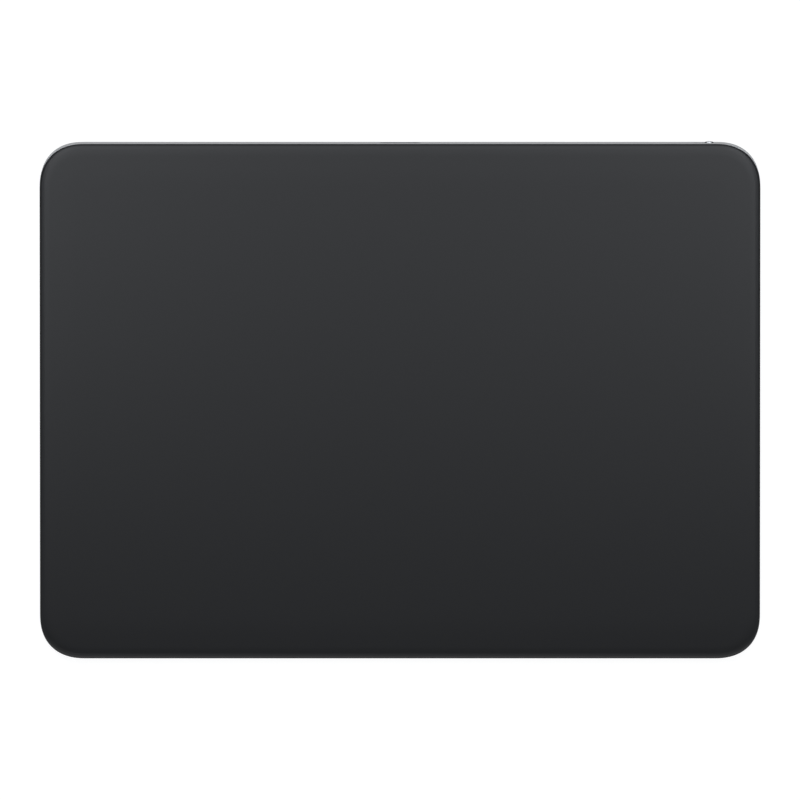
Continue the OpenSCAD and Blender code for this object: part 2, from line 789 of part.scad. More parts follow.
// U-shaped iron core: a yoke with a screw ear at each end, and two legs towards the attraction bar
module magnet_core() {
    color("dimgray") difference() {
        translate([yoke_x, magnet_y, core_low]) {
            translate([0, -yoke_d / 2, 0]) cube([yoke_w, yoke_d, core_h]);
            for (side = [-1, 1]) translate([0, side * leg_pitch / 2 - leg_w / 2, 0])
                cube([yoke_w + leg_len, leg_w, core_h]);
        }
        for (side = [-1, 1]) magnet_screw_place(side) translate([0, 0, core_h]) screw_hole(core_h + over);
    }
}

// Square tube round a leg of the core: its two ends, and its inner and outer build-up at the
// leg's sides and faces
module leg_tube(side, from_x, to_x, inner, outer_side, outer_face) {
    translate([0, magnet_y + side * leg_pitch / 2, core_low + core_h / 2]) difference() {
        block([from_x, -leg_w / 2 - outer_side, -core_h / 2 - outer_face],
            [to_x, leg_w / 2 + outer_side, core_h / 2 + outer_face]);
        block([from_x - over, -leg_w / 2 - inner, -core_h / 2 - inner],
            [to_x + over, leg_w / 2 + inner, core_h / 2 + inner]);
    }
}

module bobbin(side) {
    color("wheat") {
        leg_tube(side, coil_from, coil_to, bobbin_gap, tube_out, tube_out);
        for (x = [coil_from, coil_to - flange_t])
            leg_tube(side, x, x + flange_t, bobbin_gap, tube_out + winding_side, tube_out + winding_face);
    }
}

module coil(side) {
    color("#b87333") leg_tube(
        side, coil_from + flange_t, coil_to - flange_t, tube_out,
        tube_out + winding_side, tube_out + winding_face);
}

module magnet_screws() {
    color("dimgray") for (side = [-1, 1])
        magnet_screw_place(side) translate([0, 0, core_h]) screw(core_h + screw_reach);
}

// Profile of the battery pouch's rounded edge
module cell_profile() {
    inner = cell_corner_r - cell_edge_r;
    square([inner, cell_t]);
    translate([0, cell_edge_r]) square([cell_corner_r, cell_t - 2 * cell_edge_r]);
    for (y = [cell_edge_r, cell_t - cell_edge_r]) translate([inner, y]) circle(cell_edge_r);
}

module battery_cell() {
    color("#3a3b3d") translate([cell_x + cell_w / 2, cell_front + cell_d / 2, cell_low])
        bordered_slab(cell_w, cell_d, cell_corner_r, cell_t) cell_profile();
}

module battery_tape() {
    color("white") for (y = [cell_front + tape_edge, cell_front + cell_d - tape_edge - tape_w])
        block([cell_x + tape_edge, y, floor_top], [cell_x + cell_w - tape_edge, y + tape_w, cell_low]);
}

module battery_circuit() {
    color("darkolivegreen")
        block([circuit_x, circuit_y, floor_top],
            [circuit_x + circuit_w, circuit_y + circuit_d, connector_top]);
}

// Lead from the battery's circuit to its connector on the logic board
module battery_lead() {
    color("#8a5a2b") block(
        [battery_lead_x, circuit_y, connector_top],
        [battery_lead_x + lead_w, connector_rear, connector_top + flex_t]);
}

// Places children at a screw of the logic board, on the board's lower face
module board_screw_place(side) {
    translate([side * main_screw_x, main_screw_y, main_low]) children();
}

// Places children at a screw of the port's strap, on the board's lower face
module cowling_screw_place(side) {
    translate([side * cowling_screw_x, cowling_screw_y, main_low]) children();
}

module logic_board() {
    color("#1d3b2a") difference() {
        translate([0, main_front + main_d / 2, 0]) plate(main_w, main_d, main_corner_r, main_low, main_top);
        for (side = [-1, 1]) {
            board_screw_place(side) translate([0, 0, main_t]) screw_hole(main_t + over);
            cowling_screw_place(side) translate([0, 0, main_t]) screw_hole(main_t + over);
        }
    }
}

// Chip on the logic board, from its place and its size
module chip(place_x, place_y, size) {
    translate([place_x - size[0] / 2, main_front + place_y - size[1] / 2, main_top]) cube(size);
}

module board_chips() {
    color("#1b1b1c") {
        for (c = [controller, amplifier, charger, radio, crystal]) chip(c[0], c[1], [c[2], c[3], c[4]]);
        for (i = [0 : 5]) chip(controller[0] + (i - 2.5) * capacitor_pitch, controller[1] + 4.6, capacitor);
        for (i = [-1 : 1]) chip(charger[0] + i * capacitor_pitch, charger[1] - 3, capacitor);
    }
}

// Pressed can over the radio, open towards the board
module radio_shield() {
    r = 3 * shield_t;
    color("lightgray") translate([shield_x, shield_y, 0]) difference() {
        plate(shield_w, shield_d, r, main_top, main_top + shield_h);
        plate(shield_w - 2 * shield_t, shield_d - 2 * shield_t, r - shield_t, main_top - over,
            main_top + shield_h - shield_t);
    }
}

// Connectors: two on the board for the battery and the sensor board, and three under it for the
// leads on the floor
module board_connectors() {
    color("ivory") {
        block([battery_lead_x, connector_y, main_top],
            [battery_lead_x + lead_w, connector_rear, connector_top]);
        block([sensor_lead_x - sensor_lead_w / 2, connector_y, main_top],
            [sensor_lead_x + sensor_lead_w / 2, connector_rear, connector_top]);
        block([coil_lead_x, connector_y, lead_top], [coil_lead_x + lead_w, connector_rear, main_low]);
        for (x = [-1, 1]) translate([x * gauge_connector_x, gauge_lead_y, 0])
            block([-gauge_connector_w / 2, -gauge_lead_w / 2, lead_top],
                [gauge_connector_w / 2, gauge_lead_w / 2, main_low]);
    }
}

module board_screws() {
    color("dimgray") for (side = [-1, 1])
        board_screw_place(side) translate([0, 0, main_t]) screw(main_t + screw_reach);
}

// Pressed steel shell of the port, open to the rear
module port_shell() {
    color("silver") translate([0, port_front, port_z]) rotate([90, 0, 0]) difference() {
        linear_extrude(port_len) stadium(port_w, port_h);
        translate([0, 0, -over]) linear_extrude(port_len - port_t + over)
            stadium(port_w - 2 * port_t, port_h - 2 * port_t);
    }
}

// Soft ring round the shell that closes its gap in the rear wall, its outer face along the wall
module port_gasket() {
    reach = wall_y(pad_d / 2, port_z) + over;
    ring = 2 * (port_gap - gasket_gap);
    color("#3c3d3f") intersection() {
        translate([0, reach, port_z]) rotate([90, 0, 0]) linear_extrude(reach - gasket_back) difference() {
            stadium(port_w + ring, port_h + ring);
            stadium(port_w, port_h);
        }
        pad_prism(gasket_recess, over);
    }
}

// Moulded block that fills the shell's inner end and carries the contact tongue
module port_tongue() {
    inset = 2 * port_t + 2 * port_block_gap;
    block_len = port_len - port_t - tongue_recess - tongue_len;
    color("#1b1b1c") translate([0, tongue_tip, port_z]) rotate([90, 0, 0]) {
        translate([0, 0, tongue_len]) linear_extrude(block_len) stadium(port_w - inset, port_h - inset);
        translate([-tongue_w / 2, -tongue_t / 2, 0]) cube([tongue_w, tongue_t, tongue_len + block_len / 2]);
    }
}

// Rows of contacts on both faces of the tongue
module port_contacts() {
    tip_gap = 0.8;
    first = -(contact_count - 1) * contact_pitch / 2;
    color("gold") for (i = [0 : contact_count - 1], side = [-1, 1])
        translate([first + i * contact_pitch, tongue_tip, port_z + side * (tongue_t + contact_t) / 2])
            block([-contact_w / 2, -tongue_len, -contact_t / 2], [contact_w / 2, -tip_gap, contact_t / 2]);
}

// Strap over the port, screwed through the board into the tray
module port_cowling() {
    top = port_h + cowling_gap;
    half = cowling_half + cowling_t;
    rear = cowling_screw_y + cowling_d / 2;
    color("silver") difference() {
        translate([0, rear, main_top]) rotate([90, 0, 0]) linear_extrude(cowling_d) {
            translate([-half, top]) square([2 * half, cowling_t]);
            for (side = [0, 1]) mirror([side, 0]) translate([cowling_half, 0]) {
                square([cowling_t, top + cowling_t]);
                square([cowling_ear - cowling_half, cowling_t]);
            }
        }
        for (side = [-1, 1])
            cowling_screw_place(side) translate([0, 0, main_t + cowling_t]) screw_hole(cowling_t + over);
    }
}

module cowling_screws() {
    color("dimgray") for (side = [-1, 1])
        cowling_screw_place(side) translate([0, 0, main_t + cowling_t])
            screw(cowling_t + main_t + screw_reach);
}

// Thumb nub: it passes through the slot and has a crowned face
module nub() {
    intersection() {
        rotate([-90, 0, 0]) linear_extrude(nub_len) stadium(nub_w, nub_h);
        union() {
            translate([0, nub_len - nub_crown_r, -slot_h]) cylinder(r = nub_crown_r, h = 2 * slot_h);
            translate([-nub_w, 0, -slot_h]) cube([2 * nub_w, nub_len - nub_crown_r, 2 * slot_h]);
        }
    }
}

// Slider of the power switch: the nub, a plate behind the wall and a fork for the lever
module switch_knob() {
    color("#d9dadc") on_slope() translate([nub_x, slider_v, -switch_drop]) {
        nub();
        block([-slider_w / 2, -slider_t, -slider_h / 2], [slider_w / 2, 0, slider_h / 2]);
        for (side = [-1, 1])
            translate([side * (lever_w / 2 + fork_gap + fork_t / 2), -slider_t - fork_len / 2, 0])
                cube([fork_t, fork_len, lever_h], center = true);
    }
}

// Lever of the switch, held in the slider's fork
module switch_lever() {
    reach = fork_len + switch_body_gap + lever_pocket - lever_gap;
    color("black") on_slope() translate([nub_x, slider_v - slider_t, -switch_drop])
        block([-lever_w / 2, -reach, -lever_h / 2], [lever_w / 2, -lever_gap, lever_h / 2]);
}

module switch_body() {
    pocket_w = lever_w + switch_travel + 4 * lever_gap;
    pocket_h = lever_h + 2 * lever_gap;
    color("#2a2a2c") on_slope() translate([switch_x, switch_body_v, -switch_drop]) difference() {
        block([-switch_body_w / 2, -switch_body_d, -switch_body_h / 2],
            [switch_body_w / 2, 0, switch_body_h / 2]);
        block([-pocket_w / 2, -lever_pocket, -pocket_h / 2], [pocket_w / 2, over, pocket_h / 2]);
    }
}

// Places children at a screw of the switch, on top of its post
module switch_screw_place(side) {
    on_slope() translate([switch_x + side * switch_post_x, switch_post_v, switch_body_top]) children();
}

// Strap that holds the switch down, on two posts
module switch_retainer() {
    color("silver") difference() {
        on_slope() translate([switch_x, switch_post_v, switch_body_top])
            linear_extrude(retainer_t) stadium(2 * (switch_post_x + boss_r), 2 * boss_r);
        for (side = [-1, 1])
            switch_screw_place(side) translate([0, 0, retainer_t]) screw_hole(retainer_t + over);
    }
}

module switch_screws() {
    color("dimgray") for (side = [-1, 1])
        switch_screw_place(side) translate([0, 0, retainer_t]) screw(retainer_t + screw_reach);
}

// Lead from the front of the switch down to the logic board
module switch_lead() {
    v = switch_body_v - switch_body_d;
    high = slope_z(v, switch_body_low) + flex_t;
    rear = wall_y(v, high + flex_t) - switch_body_gap;
    board_x = main_w / 2;
    body_x = switch_x - switch_body_w / 2;
    land = 2;
    color("#8a5a2b") translate([0, rear, 0]) rotate([90, 0, 0]) linear_extrude(lead_w / 2)
        polygon([
            [board_x - land, main_top], [board_x, main_top], [body_x, high], [switch_x, high],
            [switch_x, high + flex_t], [body_x, high + flex_t], [board_x, main_top + flex_t],
            [board_x - land, main_top + flex_t]
        ]);
}

// Outline of the sensor board's lead, seen from the side: along the board, round the loop and
// on to the connector
module sensor_lead_outline() {
    reach = 2 * loop_r;
    translate([pad_shift, middle_h]) rotate(slope) translate([loop_v - sensor_bond_len, sensor_low - flex_t])
        square([sensor_bond_len + flex_t, flex_t]);
    translate([loop_y, loop_z]) intersection() {
        difference() {
            circle(loop_r);
            circle(loop_r - flex_t);
        }
        polygon([[0, 0], [0, -reach], [reach, -reach], [reach, reach], [-reach * tan(slope), reach]]);
    }
    translate([connector_y, connector_top]) square([loop_y - connector_y + flex_t, flex_t]);
}

module sensor_lead() {
    color("#8a5a2b") translate([sensor_lead_x - sensor_lead_w / 2, 0, 0]) rotate([90, 0, 90])
        linear_extrude(sensor_lead_w) sensor_lead_outline();
}

// Tail of a strain gauge's lead: from the side ribbon, past the arm's pad and up to the gauge
module gauge_tail(side_y) {
    pad_edge = side_y * (arm_v - arm_w / 2);
    y = wall_y(pad_edge, floor_top) - side_y * (lead_gap + gauge_lead_w / 2);
    arm_y = slope_y(side_y * arm_v, arm_low);
    gauge_z = plane_z(arm_y - gauge_link / 2, arm_low - gauge_t);
    low = min(y, arm_y) - gauge_lead_w / 2;
    high = max(y, arm_y) + gauge_lead_w / 2;
    block([gauge_end_x, y - gauge_lead_w / 2, floor_top],
        [gauge_lead_x + gauge_lead_w, y + gauge_lead_w / 2, lead_top]);
    block([gauge_end_x, low, floor_top], [gauge_end_x + gauge_link, high, lead_top]);
    block([gauge_end_x, arm_y - gauge_link / 2, floor_top],
        [gauge_end_x + flex_t, arm_y + gauge_link / 2, gauge_z]);
}

// Ribbons on the tray's floor, from the strain gauges along each side wall to the logic board
module gauge_leads() {
    front_y = wall_y(-arm_v, floor_top);
    rear_y = gauge_lead_y + gauge_lead_w / 2;
    color("#8a5a2b") for (side = [0, 1]) mirror([side, 0, 0]) {
        block([gauge_lead_x, front_y, floor_top], [gauge_lead_x + gauge_lead_w, rear_y, lead_top]);
        block([gauge_connector_x - gauge_connector_w / 2, rear_y - gauge_lead_w, floor_top],
            [gauge_lead_x + gauge_lead_w, rear_y, lead_top]);
        gauge_tail(-1);
        gauge_tail(1);
    }
}

// Ribbon on the tray's floor, from the coils to the logic board
module coil_lead() {
    front_y = magnet_y - leg_pitch / 2 - lead_w / 2;
    color("#8a5a2b") {
        block([coil_lead_x, front_y, floor_top], [coil_lead_x + lead_w, connector_rear, lead_top]);
        for (side = [-1, 1]) translate([0, magnet_y + side * leg_pitch / 2, 0])
            block([coil_lead_x, -lead_w / 2, floor_top], [coil_from - lead_gap, lead_w / 2, lead_top]);
    }
}

module antenna_carrier() {
    color("#2a2a2c") translate([antenna_x, antenna_y, 0])
        plate(antenna_w, antenna_d, foil_w / 2, main_top, main_top + antenna_h);
}

// Folded radiator on top of the antenna's carrier
module antenna_foil() {
    half_w = antenna_w / 2 - foil_w;
    half_d = antenna_d / 2 - foil_w / 2;
    pitch = (2 * half_w - foil_w) / 2;
    color("#b87333") translate([antenna_x, antenna_y, main_top + antenna_h]) {
        block([-half_w, -half_d, 0], [half_w, -half_d + foil_w, foil_t]);
        for (i = [0 : 2]) translate([-half_w + i * pitch, -half_d, 0]) cube([foil_w, 2 * half_d, foil_t]);
    }
}

enclosure();
foot(-1, -1);  // foot_front_left
foot(1, -1);  // foot_front_right
foot(-1, 1);  // foot_rear_left
foot(1, 1);  // foot_rear_right
touch_glass();
glass_bond();
sensor_board();
touch_chips();
stiffener();
attraction_bar();
gel(-1, -1);  // gel_front_left
gel(1, -1);  // gel_front_right
gel(-1, 1);  // gel_rear_left
gel(1, 1);  // gel_rear_right
cup(-1, -1);  // cup_front_left
cup(1, -1);  // cup_front_right
cup(-1, 1);  // cup_rear_left
cup(1, 1);  // cup_rear_right
arm(-1, -1);  // arm_front_left
arm(1, -1);  // arm_front_right
arm(-1, 1);  // arm_rear_left
arm(1, 1);  // arm_rear_right
gauge(-1, -1);  // gauge_front_left
gauge(1, -1);  // gauge_front_right
gauge(-1, 1);  // gauge_rear_left
gauge(1, 1);  // gauge_rear_right
arm_screws();
magnet_core();
bobbin(-1);  // bobbin_front
bobbin(1);  // bobbin_rear
coil(-1);  // coil_front
coil(1);  // coil_rear
magnet_screws();
battery_cell();
battery_tape();
battery_circuit();
battery_lead();
logic_board();
board_chips();
radio_shield();
board_connectors();
board_screws();
port_shell();
port_gasket();
port_tongue();
port_contacts();
port_cowling();
cowling_screws();
switch_knob();
switch_lever();
switch_body();
switch_retainer();
switch_screws();
switch_lead();
sensor_lead();
gauge_leads();
coil_lead();
antenna_carrier();
antenna_foil();
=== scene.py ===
"""Looks of a wedge-shaped desktop trackpad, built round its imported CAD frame.

Everything is in metres, in the row's frame: +X to the user's right, +Y to the rear, +Z up.
A level w is counted from the glass's upper face, square to it, and a depth v along its slope.
"""

import logging
import math
from abc import ABC, abstractmethod
from collections.abc import Callable, Iterable, Sequence
from dataclasses import dataclass, replace
from enum import Enum

import bmesh
import bpy
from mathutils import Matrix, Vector


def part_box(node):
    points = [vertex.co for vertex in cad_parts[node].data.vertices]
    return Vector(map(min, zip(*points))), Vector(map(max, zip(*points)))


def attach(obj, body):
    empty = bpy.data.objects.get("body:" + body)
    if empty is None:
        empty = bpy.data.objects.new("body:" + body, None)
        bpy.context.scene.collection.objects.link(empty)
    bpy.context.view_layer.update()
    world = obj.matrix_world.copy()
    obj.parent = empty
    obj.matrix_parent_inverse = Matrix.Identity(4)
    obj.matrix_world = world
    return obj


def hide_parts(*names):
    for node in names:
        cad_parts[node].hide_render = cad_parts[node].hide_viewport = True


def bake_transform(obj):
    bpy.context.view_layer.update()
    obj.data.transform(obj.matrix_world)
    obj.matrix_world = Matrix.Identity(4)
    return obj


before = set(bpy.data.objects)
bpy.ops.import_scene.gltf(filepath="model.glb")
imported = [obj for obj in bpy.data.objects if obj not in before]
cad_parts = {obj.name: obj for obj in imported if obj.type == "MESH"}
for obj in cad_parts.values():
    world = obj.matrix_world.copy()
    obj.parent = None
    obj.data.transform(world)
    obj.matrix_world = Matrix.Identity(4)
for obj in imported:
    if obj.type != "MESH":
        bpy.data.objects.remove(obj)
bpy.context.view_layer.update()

LOG = logging.getLogger("trackpad")
MM = 0.001
SHARP_ANGLE = math.radians(35)
# Points that lie nearer to each other than this are one point
TINY = 1e-8
# Distance from band to band of a wave texture at scale 1
WAVE_PITCH = math.tau / 20
# Spans along a quarter turn of a small corner, of a round end and of a turned piece
CORNER_STEPS = 4
END_STEPS = 8
TURNED_STEPS = 16

Piece = bpy.types.Object
Tree = bpy.types.NodeTree
Socket = bpy.types.NodeSocket
Pairs = Sequence[tuple[float, float]]
Outline = list[tuple[float, float]]
Ring = list[Vector]
Inputs = dict[str | int, object]
FaceMap = Callable[[float, float, float], Vector]


class Body(Enum):
    """Rigid bodies of the frame."""

    HOUSING = "housing"
    CUPS = "force_cups"
    PLATE = "touch_plate"
    SWITCH = "power_switch"


class Corner(Enum):
    """Corners that carry a foot, an arm, a cup and a gel pad."""

    FRONT_LEFT = "front_left"
    FRONT_RIGHT = "front_right"
    REAR_LEFT = "rear_left"
    REAR_RIGHT = "rear_right"

    @property
    def side(self) -> int:
        """Sign of the corner's place along X."""
        return -1 if self.value.endswith("left") else 1

    @property
    def end(self) -> int:
        """Sign of the corner's place along Y."""
        return -1 if self.value.startswith("front") else 1

    def node(self, kind: str) -> str:
        """Returns the name of the CAD node of a kind at this corner."""
        return f"{kind}_{self.value}"


class Axis(Enum):
    """Direction along which bands follow each other."""

    X = "X"
    Y = "Y"
    Z = "Z"


def linear(hex_code: str) -> tuple[float, float, float, float]:
    """Turns an sRGB hex value into linear colour.

    Args:
        hex_code: A hash sign and six hex digits.

    Returns:
        Red, green and blue in linear light, and an alpha of 1.
    """
    shares = [int(hex_code[start:start + 2], 16) / 255 for start in (1, 3, 5)]
    red, green, blue = (
        share / 12.92 if share <= 0.04045 else ((share + 0.055) / 1.055) ** 2.4 for share in shares
    )
    return red, green, blue, 1.0


def feed(tree: Tree, node: bpy.types.Node, inputs: Inputs) -> None:
    """Sets a node's sockets, or links them.

    Args:
        tree: Tree that holds the node.
        node: Node whose sockets are set.
        inputs: Socket name or place, and its value or the output socket that feeds it.
    """
    for key, value in inputs.items():
        if isinstance(value, Socket):
            tree.links.new(value, node.inputs[key])
        else:
            node.inputs[key].default_value = value


def add_node(
    tree: Tree, kind: str, settings: dict[str, object] | None = None, inputs: Inputs | None = None
) -> bpy.types.Node:
    """Adds a node with its settings and links.

    Args:
        tree: Tree that takes the node.
        kind: Blender's name for the kind of node.
        settings: Values of the node's own properties.
        inputs: Values of its sockets, or the output sockets that feed them.

    Returns:
        The new node.
    """
    node = tree.nodes.new(kind)
    for key, value in (settings or {}).items():
        setattr(node, key, value)
    feed(tree, node, inputs or {})
    return node


def bare_material(name: str) -> bpy.types.Material:
    """Makes a material without nodes.

    Args:
        name: Name of the material.

    Returns:
        The material, whose node tree is empty.
    """
    made = bpy.data.materials.new(name)
    made.use_nodes = True
    made.node_tree.nodes.clear()
    return made


@dataclass(frozen=True)
class Pattern:
    """What a finish's own nodes give its shader.

    Attributes:
        tone: Share of the light colour in the mix.
        grain: Share of the way from the least roughness to the greatest.
        height: Height of the relief.
        spread: How far the roughness goes below its mean, and above it.
        strength: Strength of the relief.
        depth: Depth of the relief.
        sockets: Further sockets of the shader, and their values.
    """

    tone: Socket
    grain: Socket
    height: Socket
    spread: tuple[float, float]
    strength: float
    depth: float
    sockets: Inputs


@dataclass(frozen=True)
class Finish(ABC):
    """A real material and the way its surface was made.

    Attributes:
        name: Name of the material in the file.
        slot: Material slot of the record that it stands for; not used by the script.
        light: The lighter of its two colours.
        dark: The darker one.
        roughness: Softness of the reflection.
    """

    name: str
    slot: str
    light: str
    dark: str
    roughness: float

    def material(self) -> bpy.types.Material:
        """Finds the finish's material, or builds it on the first call.

        Returns:
            The material.
        """
        known = bpy.data.materials.get(self.name)
        if known:
            return known
        made = bare_material(self.name)
        tree = made.node_tree
        pattern = self.pattern(tree, add_node(tree, "ShaderNodeTexCoord").outputs["Object"])
        below, above = pattern.spread
        tone = add_node(tree, "ShaderNodeMix", {"data_type": "RGBA"}, {
            0: pattern.tone, 6: linear(self.dark), 7: linear(self.light)})
        soft = add_node(tree, "ShaderNodeMapRange", inputs={
            "Value": pattern.grain, "To Min": self.roughness - below, "To Max": self.roughness + above})
        relief = add_node(tree, "ShaderNodeBump", inputs={
            "Strength": pattern.strength, "Distance": pattern.depth, "Height": pattern.height})
        shader = add_node(tree, "ShaderNodeBsdfPrincipled", inputs={
            "Base Color": tone.outputs[2], "Roughness": soft.outputs[0], "Normal": relief.outputs[0],
            **pattern.sockets})
        add_node(tree, "ShaderNodeOutputMaterial", inputs={"Surface": shader.outputs[0]})
        return made

    @abstractmethod
    def pattern(self, tree: Tree, place: Socket) -> Pattern:
        """Adds the finish's own nodes.

        Args:
            tree: Tree of the material.
            place: Position in the row's frame, in metres.

        Returns:
            What they give the shader.
        """


@dataclass(frozen=True)
class EtchedGlass(Finish):
    """Glass etched to a satin face over a black backing: a soft, broad reflection and no sparkle.

    Attributes:
        grain: Size of the etch, drawn far coarser than the real one so that it shows at all.
        ior: Index of the etched face.
    """

    grain: float
    ior: float

    def pattern(self, tree: Tree, place: Socket) -> Pattern:
        """Adds the etch's fine grain to colour, roughness and surface."""
        etch = add_node(tree, "ShaderNodeTexNoise", inputs={
            "Vector": place, "Scale": 1 / self.grain, "Detail": 2.0}).outputs[0]
        return Pattern(
            tone=etch, grain=etch, height=etch, spread=(0.02, 0.02), strength=0.08, depth=0.002 * MM,
            sockets={"IOR": self.ior})


@dataclass(frozen=True)
class BlastedMetal(Finish):
    """Metal blasted with fine beads, then anodised: pale, even and silky, with a fine sparkle.

    Attributes:
        edge: Tint of the reflection at a grazing look, where the oxide takes more of the light.
        On the nub a dark tint dims that reflection as painted shade.
        bead: Spacing of the bead marks, drawn about twice the real one so that it shows.
        bath: Size of the anodising bath's faint clouds.
    """

    edge: str
    bead: float
    bath: float = 18 * MM

    def pattern(self, tree: Tree, place: Socket) -> Pattern:
        """Adds the bead marks and the clouds of the bath."""
        marks = add_node(tree, "ShaderNodeTexVoronoi", inputs={
            "Vector": place, "Scale": 1 / self.bead}).outputs["Distance"]
        bath = add_node(tree, "ShaderNodeTexNoise", inputs={
            "Vector": place, "Scale": 1 / self.bath, "Detail": 3.0}).outputs[0]
        return Pattern(
            tone=bath, grain=marks, height=marks, spread=(0.05, 0.06), strength=0.25, depth=0.006 * MM,
            sockets={"Metallic": 1.0, "Specular Tint": linear(self.edge)})


@dataclass(frozen=True)
class MouldedSurface(Finish):
    """Plastic, rubber or film from a mould or a roll: a fine grain and slow clouds of tone.

    Attributes:
        grain: Spacing of the surface's grain.
        relief: Depth of that grain.
        ior: Index of the material.
        glow: Share of light that scatters below the surface.
        scatter: How far that light goes.
        cloud: Size of the clouds.
    """

    grain: float
    relief: float
    ior: float = 1.5
    glow: float = 0.0
    scatter: float = 0.5 * MM
    cloud: float = 6 * MM

    def pattern(self, tree: Tree, place: Socket) -> Pattern:
        """Adds the grain and the clouds."""
        grain, cloud = (
            add_node(tree, "ShaderNodeTexNoise", inputs={
                "Vector": place, "Scale": 1 / size, "Detail": detail}).outputs[0]
            for size, detail in ((self.grain, 4.0), (self.cloud, 2.0))
        )
        return Pattern(
            tone=cloud, grain=grain, height=grain, spread=(0.08, 0.08), strength=0.5, depth=self.relief,
            sockets={
                "IOR": self.ior, "Subsurface Weight": self.glow, "Subsurface Scale": self.scatter})


@dataclass(frozen=True)
class RolledMetal(Finish):
    """Sheet or strip metal from the rolls: fine streaks along X that draw the reflection out.

    Attributes:
        streak: Width of a streak.
        length: Length of a streak as a multiple of its width.
    """

    streak: float
    length: float = 30.0

    def pattern(self, tree: Tree, place: Socket) -> Pattern:
        """Adds the rolling streaks to colour, roughness and surface."""
        drawn = add_node(tree, "ShaderNodeMapping", inputs={
            "Vector": place, "Scale": (1 / self.length, 1.0, 1.0)}).outputs[0]
        streaks = add_node(tree, "ShaderNodeTexNoise", inputs={
            "Vector": drawn, "Scale": 1 / self.streak, "Detail": 3.0}).outputs[0]
        return Pattern(
            tone=streaks, grain=streaks, height=streaks, spread=(0.08, 0.1), strength=0.2,
            depth=0.004 * MM, sockets={"Metallic": 1.0})


@dataclass(frozen=True)
class BandedSurface(Finish):
    """Something laid side by side: turns of wire, stacked sheets or tracks under a film.

    Attributes:
        pitch: Distance from band to band.
        axis: Direction in which the bands follow each other.
        metallic: One for bare metal, nothing for a film over it.
        relief: Depth of the gaps.
        drift: Size of a slow change of tone, so that no two bands are quite alike.
        unlike: Strength of that change.
    """

    pitch: float
    axis: Axis
    metallic: float
    relief: float
    drift: float = 2 * MM
    unlike: float = 0.3

    def pattern(self, tree: Tree, place: Socket) -> Pattern:
        """Adds the bands and their slow change of tone."""
        bands = add_node(
            tree, "ShaderNodeTexWave", {"bands_direction": self.axis.value, "wave_profile": "SIN"},
            {"Vector": place, "Scale": WAVE_PITCH / self.pitch}).outputs["Fac"]
        drift = add_node(tree, "ShaderNodeTexNoise", inputs={
            "Vector": place, "Scale": 1 / self.drift, "Detail": 2.0}).outputs[0]
        share = add_node(tree, "ShaderNodeMath", {"operation": "MULTIPLY_ADD"}, {
            0: drift, 1: self.unlike, 2: bands}).outputs[0]
        return Pattern(
            tone=share, grain=drift, height=bands, spread=(0.07, 0.07), strength=0.6, depth=self.relief,
            sockets={"Metallic": self.metallic})


@dataclass(frozen=True)
class MaskedBoard(Finish):
    """Glass-fibre board under soldermask: glossy lacquer with copper tracks that stand up a little.

    The lacquer is lighter over the tracks than over bare board.

    Attributes:
        track: Spacing of the tracks.
        fibre: Spacing of the glass fibres.
        ior: Index of the lacquer.
    """

    track: float
    fibre: float = 0.4 * MM
    ior: float = 1.52

    def pattern(self, tree: Tree, place: Socket) -> Pattern:
        """Adds blocks of tracks that run in steps, as a board's do."""
        tracks = add_node(tree, "ShaderNodeTexBrick", {"offset": 0.37, "squash": 0.6}, {
            "Vector": place, "Scale": 1 / self.track, "Mortar Size": 0.08, "Mortar Smooth": 0.3,
            "Brick Width": 6.0, "Row Height": 0.5}).outputs["Fac"]
        fibre = add_node(tree, "ShaderNodeTexNoise", inputs={
            "Vector": place, "Scale": 1 / self.fibre, "Detail": 2.0}).outputs[0]
        return Pattern(
            tone=tracks, grain=fibre, height=tracks, spread=(0.07, 0.07), strength=0.4, depth=0.03 * MM,
            sockets={"IOR": self.ior})


# Clear-anodised aluminium, bead-blasted: silver, silky, slightly cool
TRAY_ALUMINIUM = BlastedMetal(
    "aluminium_bead_blasted_anodised", "tray_aluminium",
    "#B1B2B4", "#AEAFB1", 0.4, "#B4B5B6", 0.16 * MM)
# The same alloy as the tray, drawn lighter as a painted highlight on the nub's crown; its dark grazing
# tint dims the white floor's reflection as painted shade, and a lower roughness gives a tighter gleam
NUB_ALUMINIUM_PAINTED_LIGHT = BlastedMetal(
    "aluminium_nub_painted_light", "tray_aluminium",
    "#D6D7D9", "#CECFD1", 0.26, "#4A4B4D", 0.12 * MM)
# Black-backed cover glass with a satin etch: dark grey under a broad light, no hard highlight
ETCHED_GLASS = EtchedGlass(
    "cover_glass_satin_etched", "etched_glass", "#101215", "#0B0C0E", 0.34, 0.3 * MM, 1.5)
# Silicone rubber from a sparked mould: dark, dull and slightly grainy
FOOT_RUBBER = MouldedSurface(
    "silicone_rubber_moulded", "foot_rubber",
    "#4A4B4D", "#3E3F41", 0.72, 0.18 * MM, 0.012 * MM, 1.43)
# The same rubber in a lighter grey, which hides the joint between the port and the tray
GASKET_RUBBER = MouldedSurface(
    "silicone_gasket_moulded", "foot_rubber",
    "#8A8B8E", "#7E7F82", 0.65, 0.18 * MM, 0.01 * MM, 1.43)
# Pressure-sensitive film: black and dull
BOND_FILM = MouldedSurface(
    "acrylic_film_adhesive", "bond_film", "#1C1C1D", "#141415", 0.6, 0.3 * MM, 0.004 * MM)
# Soldermask over glass fibre: green lacquer with tracks under it
BOARD_MASK = MaskedBoard(
    "glass_fibre_soldermask", "board_laminate", "#1C5233", "#123A24", 0.35, 0.9 * MM)
# Chip packages of filled epoxy: near black, very fine grain
CHIP_EPOXY = MouldedSurface(
    "epoxy_chip_moulded", "chip_epoxy", "#232325", "#1A1A1B", 0.55, 0.12 * MM, 0.006 * MM)
# Cold-rolled steel sheet: grey with long fine streaks
PLATE_STEEL = RolledMetal(
    "steel_sheet_rolled", "plate_steel", "#C6C7CA", "#A6A8AC", 0.34, 0.12 * MM)
